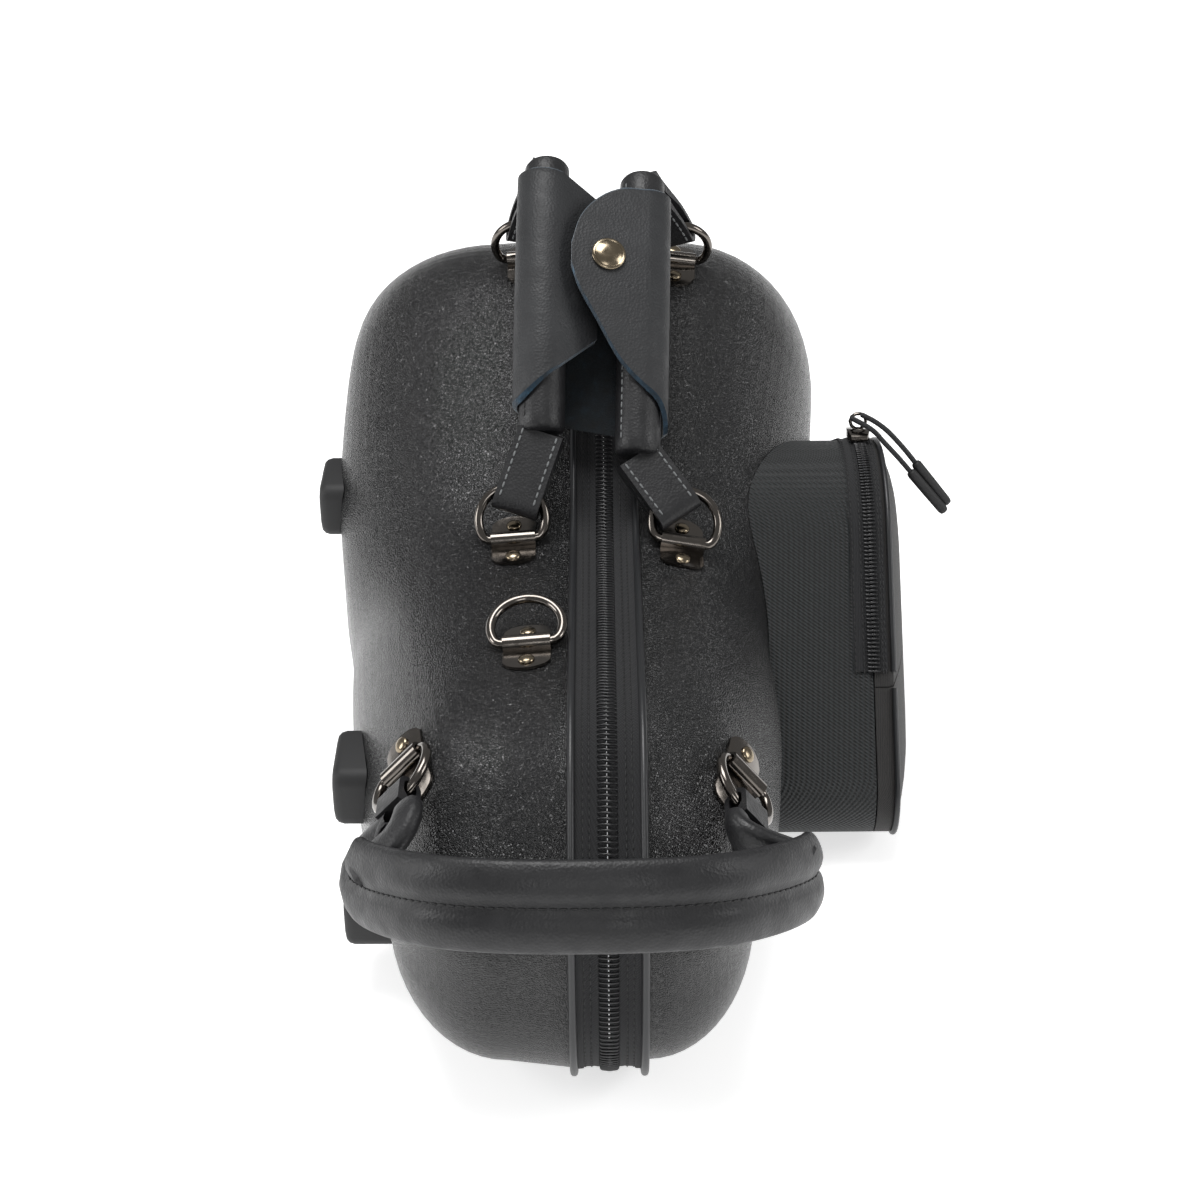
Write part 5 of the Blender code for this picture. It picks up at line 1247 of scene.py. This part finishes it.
# Places (y, z) on the base's outer face, and (x, y) under the spine; half sizes and corners
SIDE_FEET = ((-0.206, 0.09), (-0.01, 0.112), (0.2, 0.09), (-0.215, 0.036), (0.2, 0.036))
SIDE_FOOT = ((0.018, 0.013), 0.006)
SIDE_FOOT_RISE = 0.0085
SPINE_FEET_X = {"base": -0.046, "lid": 0.030}
SPINE_FEET_Y = {"near": -0.215, "far": 0.205}
SPINE_FOOT = ((0.009, 0.015), 0.004)
SPINE_FOOT_TOP = 0.003
# Share of a foot's height, how far it is drawn in there
FOOT_PROFILE = ((0.55, 0.0), (0.8, 0.0005), (0.94, 0.0014), (1.0, 0.003))


def foot_rings(centre, size, back, low, high):
    """Rings of (point, level) of a rounded block, from its back on the shell to its face."""
    half, corner = size
    rings = []
    for share, drawn in ((None, 0.0), *FOOT_PROFILE):
        outline = fillet_outline([(centre[0] + u * (half[0] - drawn),
                                   centre[1] + v * (half[1] - drawn), corner)
                                  for u, v in ((-1, -1), (1, -1), (1, 1), (-1, 1))],
                                 math.radians(15), 1.0)
        rings.append([(p, back(p) if share is None else mix(low, high, share))
                      for p in outline])
    return rings


def build_feet(trees):
    """Moulded rubber feet on the base's outer face and under the spine."""
    for number, (y, z) in enumerate(SIDE_FEET, 1):
        depth = eased(DEPTHS[-1], y)

        def beside_shell(p):
            hit = trees[-1].ray_cast(Vector((-PROBE_OUT, *p)), X_AXIS)[0]
            return hit.x - GAP if hit else PROBE_MISS - depth
        rings = foot_rings((y, z), SIDE_FOOT, beside_shell, -depth, -depth - SIDE_FOOT_RISE)
        add_piece(f"flank_foot_{number}",
                  loft([[Vector((x, *p)) for p, x in ring] for ring in rings]), "rubber", "base",
                  (f"side_foot_{number}",), 45)
    for (word, x), side in zip(SPINE_FEET_X.items(), (-1, 1)):
        for end, y in SPINE_FEET_Y.items():
            def under_shell(p):
                hit = trees[side].ray_cast(Vector((*p, -PROBE_OUT)), Z_AXIS)[0]
                return hit.z - GAP if hit else SPINE_Z
            rings = foot_rings((x, y), SPINE_FOOT, under_shell, SPINE_FOOT_TOP, 0.0)
            add_piece(f"{word}_spine_pad_{end}",
                      loft([[Vector((*p, z)) for p, z in ring] for ring in rings]), "rubber", word,
                      (f"{word}_spine_foot_{end}",), 45)


# ---- pocket

POCKET_CORNERS = ((-0.178, 0.007, 0.022), (0.19, 0.007, 0.014), (0.165, 0.0425, 0.014),
                  (-0.038, 0.155, 0.06))
POCKET_ZIP_X = 0.1175
POCKET_RIM_X = 0.127
POCKET_DOME = 0.0115
POCKET_WALL = 0.0022
POCKET_ROUND = (0.003, 0.0009)
POCKET_SEAM_Z = 0.072
POCKET_CHAIN_HALF = 0.0032
POCKET_CHAIN_RISE = 0.0014
POCKET_TAPE_THICK = 0.0006
POCKET_PITCH = 0.0018
POCKET_TOOTH = ((-0.0006, 0.0003), (0.0, 0.00055), (0.0015, 0.00045), (0.0027, 0.00052),
                (0.0031, 0.0003))
POCKET_TOOTH_RISE = 0.0006
POCKET_TOOTH_OUT = 0.0005
# Bindings beside the chain: half, body, near edge and wide edge from the zip's middle
BINDINGS = (("fixed", "lid", -0.0086, -0.0034), ("flap", "pocket_flap_body", 0.0034, 0.0062))
BINDING_LEVELS = (-0.0002, -0.0008)
BINDING_THREAD = 0.0009
BINDING_SEAM_IN = 0.0008
WELT_RADIUS = 0.0013
WELT_IN = 0.0006
WELT_RISE = 0.0002
ZIP_START = 0.004
GUSSET_LEVELS = ((None, 0), (0.3, 0), (0.65, 0), (1.0, 0), (1.0, POCKET_WALL), (None, POCKET_WALL))
GUSSET_SEAM = (-0.02, -0.001)
# The stuffed front: share of the way to its middle, share of its height
DOME_TABLE = ((0, 0), (0.08, 0.3), (0.2, 0.6), (0.4, 0.84), (0.62, 0.97), (1, 1.0))
DOME_SHARES = (0, 0.04, 0.08, 0.14, 0.2, 0.3, 0.4, 0.5, 0.62)


def pocket_tray(outline):
    """The pocket's front as an open tray with a domed face."""
    normals = inward_normals(outline)
    drawn, rounded = POCKET_ROUND
    levels = [(POCKET_ZIP_X + SPLIT_HALF, 0, 0), (POCKET_RIM_X - drawn, 0, 0),
              (POCKET_RIM_X - rounded, rounded, 0)]
    levels += [(POCKET_RIM_X + POCKET_DOME * eased(DOME_TABLE, share), drawn, share)
               for share in DOME_SHARES]

    def level_ring(x, inset, share):
        centre = sum(outline, Vector((0, 0))) / len(outline)
        return [Vector((x, *(p + n * inset).lerp(centre, share)))
                for p, n in zip(outline, normals)]

    outer = [level_ring(*level) for level in levels]
    inner = [level_ring(x - (POCKET_WALL if index else 0), inset + POCKET_WALL, share)
             for index, (x, inset, share) in enumerate(levels)]
    return loft(outer[::-1] + inner)


def cut_level(solid, z, keep_above):
    """Keep one side of a level and close the cut."""
    geometry = [*solid.verts, *solid.edges, *solid.faces]
    done = bmesh.ops.bisect_plane(solid, geom=geometry, plane_co=(0, 0, z), plane_no=(0, 0, 1),
                                  clear_inner=keep_above, clear_outer=not keep_above)
    edges = [item for item in done["geom_cut"] if isinstance(item, bmesh.types.BMEdge)]
    bmesh.ops.triangle_fill(solid, edges=edges, use_beauty=True)
    return solid


def build_gusset(tree, outline, normals):
    """Ballistic nylon walls from the lid's face to the zip, with their cross seam."""
    rows = []
    for level, inset in GUSSET_LEVELS:
        ring = []
        for point, normal in zip(outline, normals):
            place = point + normal * inset
            hit = tree.ray_cast(Vector((PROBE_OUT, *place)), -X_AXIS)[0]
            foot = (hit.x if hit else eased(DEPTHS[1], point.x) - PROBE_MISS) + GAP
            x = foot if level is None else mix(foot, POCKET_ZIP_X - SPLIT_HALF, level)
            ring.append(Vector((x, *place)))
        rows.append(ring)
    add_piece("nylon_gusset", loft(rows, closed=True), "nylon", "lid", ("pocket_gusset",))
    seam_at = next(i for i, p in enumerate(outline) if p.y > POCKET_SEAM_Z)
    here, side = outline[seam_at], normals[seam_at]
    foot = eased(DEPTHS[1], here.x) + GUSSET_SEAM[0]
    across = [Vector((mix(foot, POCKET_ZIP_X + GUSSET_SEAM[1], k / 8), *(here - side * GAP)))
              for k in range(9)]
    add_stitches("gusset_cross_seam", [(across, outward([side] * 9))], "gusset", "pale_thread",
                 "lid")


def build_pocket_front(outline, normals):
    """The twill flap and lower front, each with its welt round the face's edge."""
    start = next(i for i, p in enumerate(outline) if p.y > POCKET_SEAM_Z)
    order = [*range(start, len(outline)), *range(start)]
    for word, trim, body, way in (("flap", "upper", "pocket_flap_body", 1),
                                  ("lower_front", "lower", "lid", -1)):
        solid = cut_level(pocket_tray(outline), POCKET_SEAM_Z + way * SPLIT_HALF, way > 0)
        add_piece("twill_" + word, solid, "twill", body, ("pocket_" + word,))
        welt = [Vector((POCKET_RIM_X - WELT_IN, *(outline[i] - normals[i] * WELT_RISE)))
                for i in order if way * (outline[i].y - POCKET_SEAM_Z) > WELT_RISE]
        add_piece(f"pocket_{trim}_welt", tube(welt, WELT_RADIUS, 10, hint=X_AXIS), "piping", body,
                  (), 60)


def build_pocket_zip(outline, normals):
    """Tape, teeth and bindings on both sides of the pocket's zip."""
    run = [i for i, p in enumerate(outline) if p.y > POCKET_SEAM_Z + ZIP_START]
    path = [outline[i] for i in run]
    sides = [normals[i] for i in run]
    outwards = outward(sides)
    sections = [(reach, POCKET_TOOTH_RISE, radius) for reach, radius in POCKET_TOOTH]
    levels = (-GAP, -GAP - POCKET_TAPE_THICK)
    for (word, body, near, wide), way in zip(BINDINGS, (-1, 1)):
        inner = POCKET_ZIP_X + way * SPLIT_HALF
        outer = inner + way * (POCKET_CHAIN_HALF - SPLIT_HALF)
        near, wide = POCKET_ZIP_X + near, POCKET_ZIP_X + wide
        for name, replaced, (low, high), (top, foot) in (
                ("tape", ("pocket_zip_" + word,), (inner, outer), levels),
                ("binding", (), (near, wide), BINDING_LEVELS)):
            profile = [(low, top), (high, top), (high, foot), (low, foot)]
            add_piece(f"pocket_{word}_{name}", band(1, path, sides, profile), "tape", body,
                      replaced, 40)
        add_teeth(f"pocket_{word}_teeth", sections, 6,
                  beside(inner, path, sides, -GAP - POCKET_TOOTH_OUT), outwards, POCKET_PITCH,
                  way, body)
        rows = [(beside(x, path, sides, -BINDING_THREAD), outwards)
                for x in (near + BINDING_SEAM_IN, wide - BINDING_SEAM_IN)]
        add_stitches(f"pocket_{word}_binding_thread", rows, "binding", "thread", body)


def build_pocket(trees):
    outline = fillet_outline(POCKET_CORNERS, math.radians(6), 0.008)
    normals = inward_normals(outline)
    build_gusset(trees[1], outline, normals)
    build_pocket_front(outline, normals)
    build_pocket_zip(outline, normals)


# ---- cords of the pocket's pull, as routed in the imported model

CORD_RADIUS = 0.0012
SLEEVE_RADIUS = 0.0024
SLEEVE_LONG = 0.026
# Places from the middle of the slider's eye
TAILS = {"upper": ((0.0016, -0.0007, 0.0036), (0.0075, -0.006, 0.0024), (0.0135, -0.007, -0.0022),
                   (0.0205, -0.008, -0.0098), (0.0262, -0.009, -0.0168)),
         "lower": ((-0.0032, -0.0012, 0.0022), (0.0055, -0.009, 0.0001), (0.0115, -0.0105, -0.006),
                   (0.018, -0.0115, -0.013), (0.0237, -0.0125, -0.0196))}
# A sleeve's share of its length, share of its radius
SLEEVE_PROFILE = ((0, 0.6), (0.012, 0.82), (0.04, 0.96), (0.09, 1.0), (0.5, 1.0), (0.92, 0.97),
                  (0.965, 0.9), (0.99, 0.78), (1.0, 0.58))
SLIDER_LEAN = math.radians(15)
SLIDER_RISE = 0.0042
EYE_RISE = 0.0036
EYE_UP = 0.002


def slider_eye():
    """The eye of the pocket's slider, over the arc that the zip runs on at its top."""
    u, v, radius = POCKET_CORNERS[3]
    here = Vector((u, v))
    down = (Vector(POCKET_CORNERS[0][:2]) - here).normalized()
    back = (Vector(POCKET_CORNERS[2][:2]) - here).normalized()
    crown = here + (down + back).normalized() * (radius / math.sin(down.angle(back) / 2))
    out = Vector((0, math.sin(SLIDER_LEAN), math.cos(SLIDER_LEAN)))
    up = Vector((0, out.z, -out.y))
    rise = radius + GAP + POCKET_CHAIN_RISE + RUN_GAP
    return (Vector((POCKET_ZIP_X, *crown)) + out * (rise + SLIDER_RISE + EYE_RISE)
            + up * EYE_UP)


def build_cords():
    """Two braided tails from the pocket slider, each ending in a moulded sleeve."""
    eye = slider_eye()
    for word, route in TAILS.items():
        points = spline([eye + Vector(offset) for offset in route], 5)
        braid = add_piece(word + "_braid", tube(points, CORD_RADIUS), "cord", "pull_cords",
                          ("pull_cord_" + word,), 60)
        along = (points[-1] - points[-2]).normalized()
        sleeve = [points[-1] + along * (GAP + SLEEVE_LONG * share) for share, _ in SLEEVE_PROFILE]
        radii = [SLEEVE_RADIUS * size for _, size in SLEEVE_PROFILE]
        ends = add_piece(word + "_pull_sleeve", tube(sleeve, radii, 20), "rubber", "pull_cords",
                         ("pull_sleeve_" + word,))


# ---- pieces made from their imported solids, with broken edges

# Name, node, finish, body, edge and the least angle of an edge that is broken
SOFTENED = (
    ("pocket_zip_slider", "pocket_slider", "nickel", "pocket_slider_body", 0.0003, 35),
    ("main_zip_slider", "main_slider", "nickel", "main_slider_body", 0.0004, 35),
    ("main_zip_pull", "main_puller", "nickel", "main_puller_body", 0.0004, 25),
    ("nylon_back", "pocket_back", "nylon", "lid", 0.0003, 25),
    ("base_hinge_tape", "base_spine_hinge", "tape", "base", 0.0002, 25),
    ("lid_hinge_tape", "lid_spine_hinge", "tape", "lid", 0.0002, 25),
)


# ---- assembly


def main():
    build_stage()
    build_cords()
    trees = {}
    for side, word in ((-1, "base"), (1, "lid")):
        trees[side] = build_shell(side, word)
        build_zip(side, word)
        build_lining(word)
    build_handles(build_rings(trees))
    build_feet(trees)
    build_pocket(trees)
    for name, node, finish, body, edge, angle in SOFTENED:
        add_piece(name, bevel_sharp(packed_copy(node, 1e-6, 1), edge, angle), finish, body,
                  (node,), 40, shifted=True)


main()

for part in frame["record"]["subparts"]:
    node = frame["nodes"][part["node"]]
    node.data.materials.clear()
    node.data.materials.append(MATERIALS[part["material_slot"]])
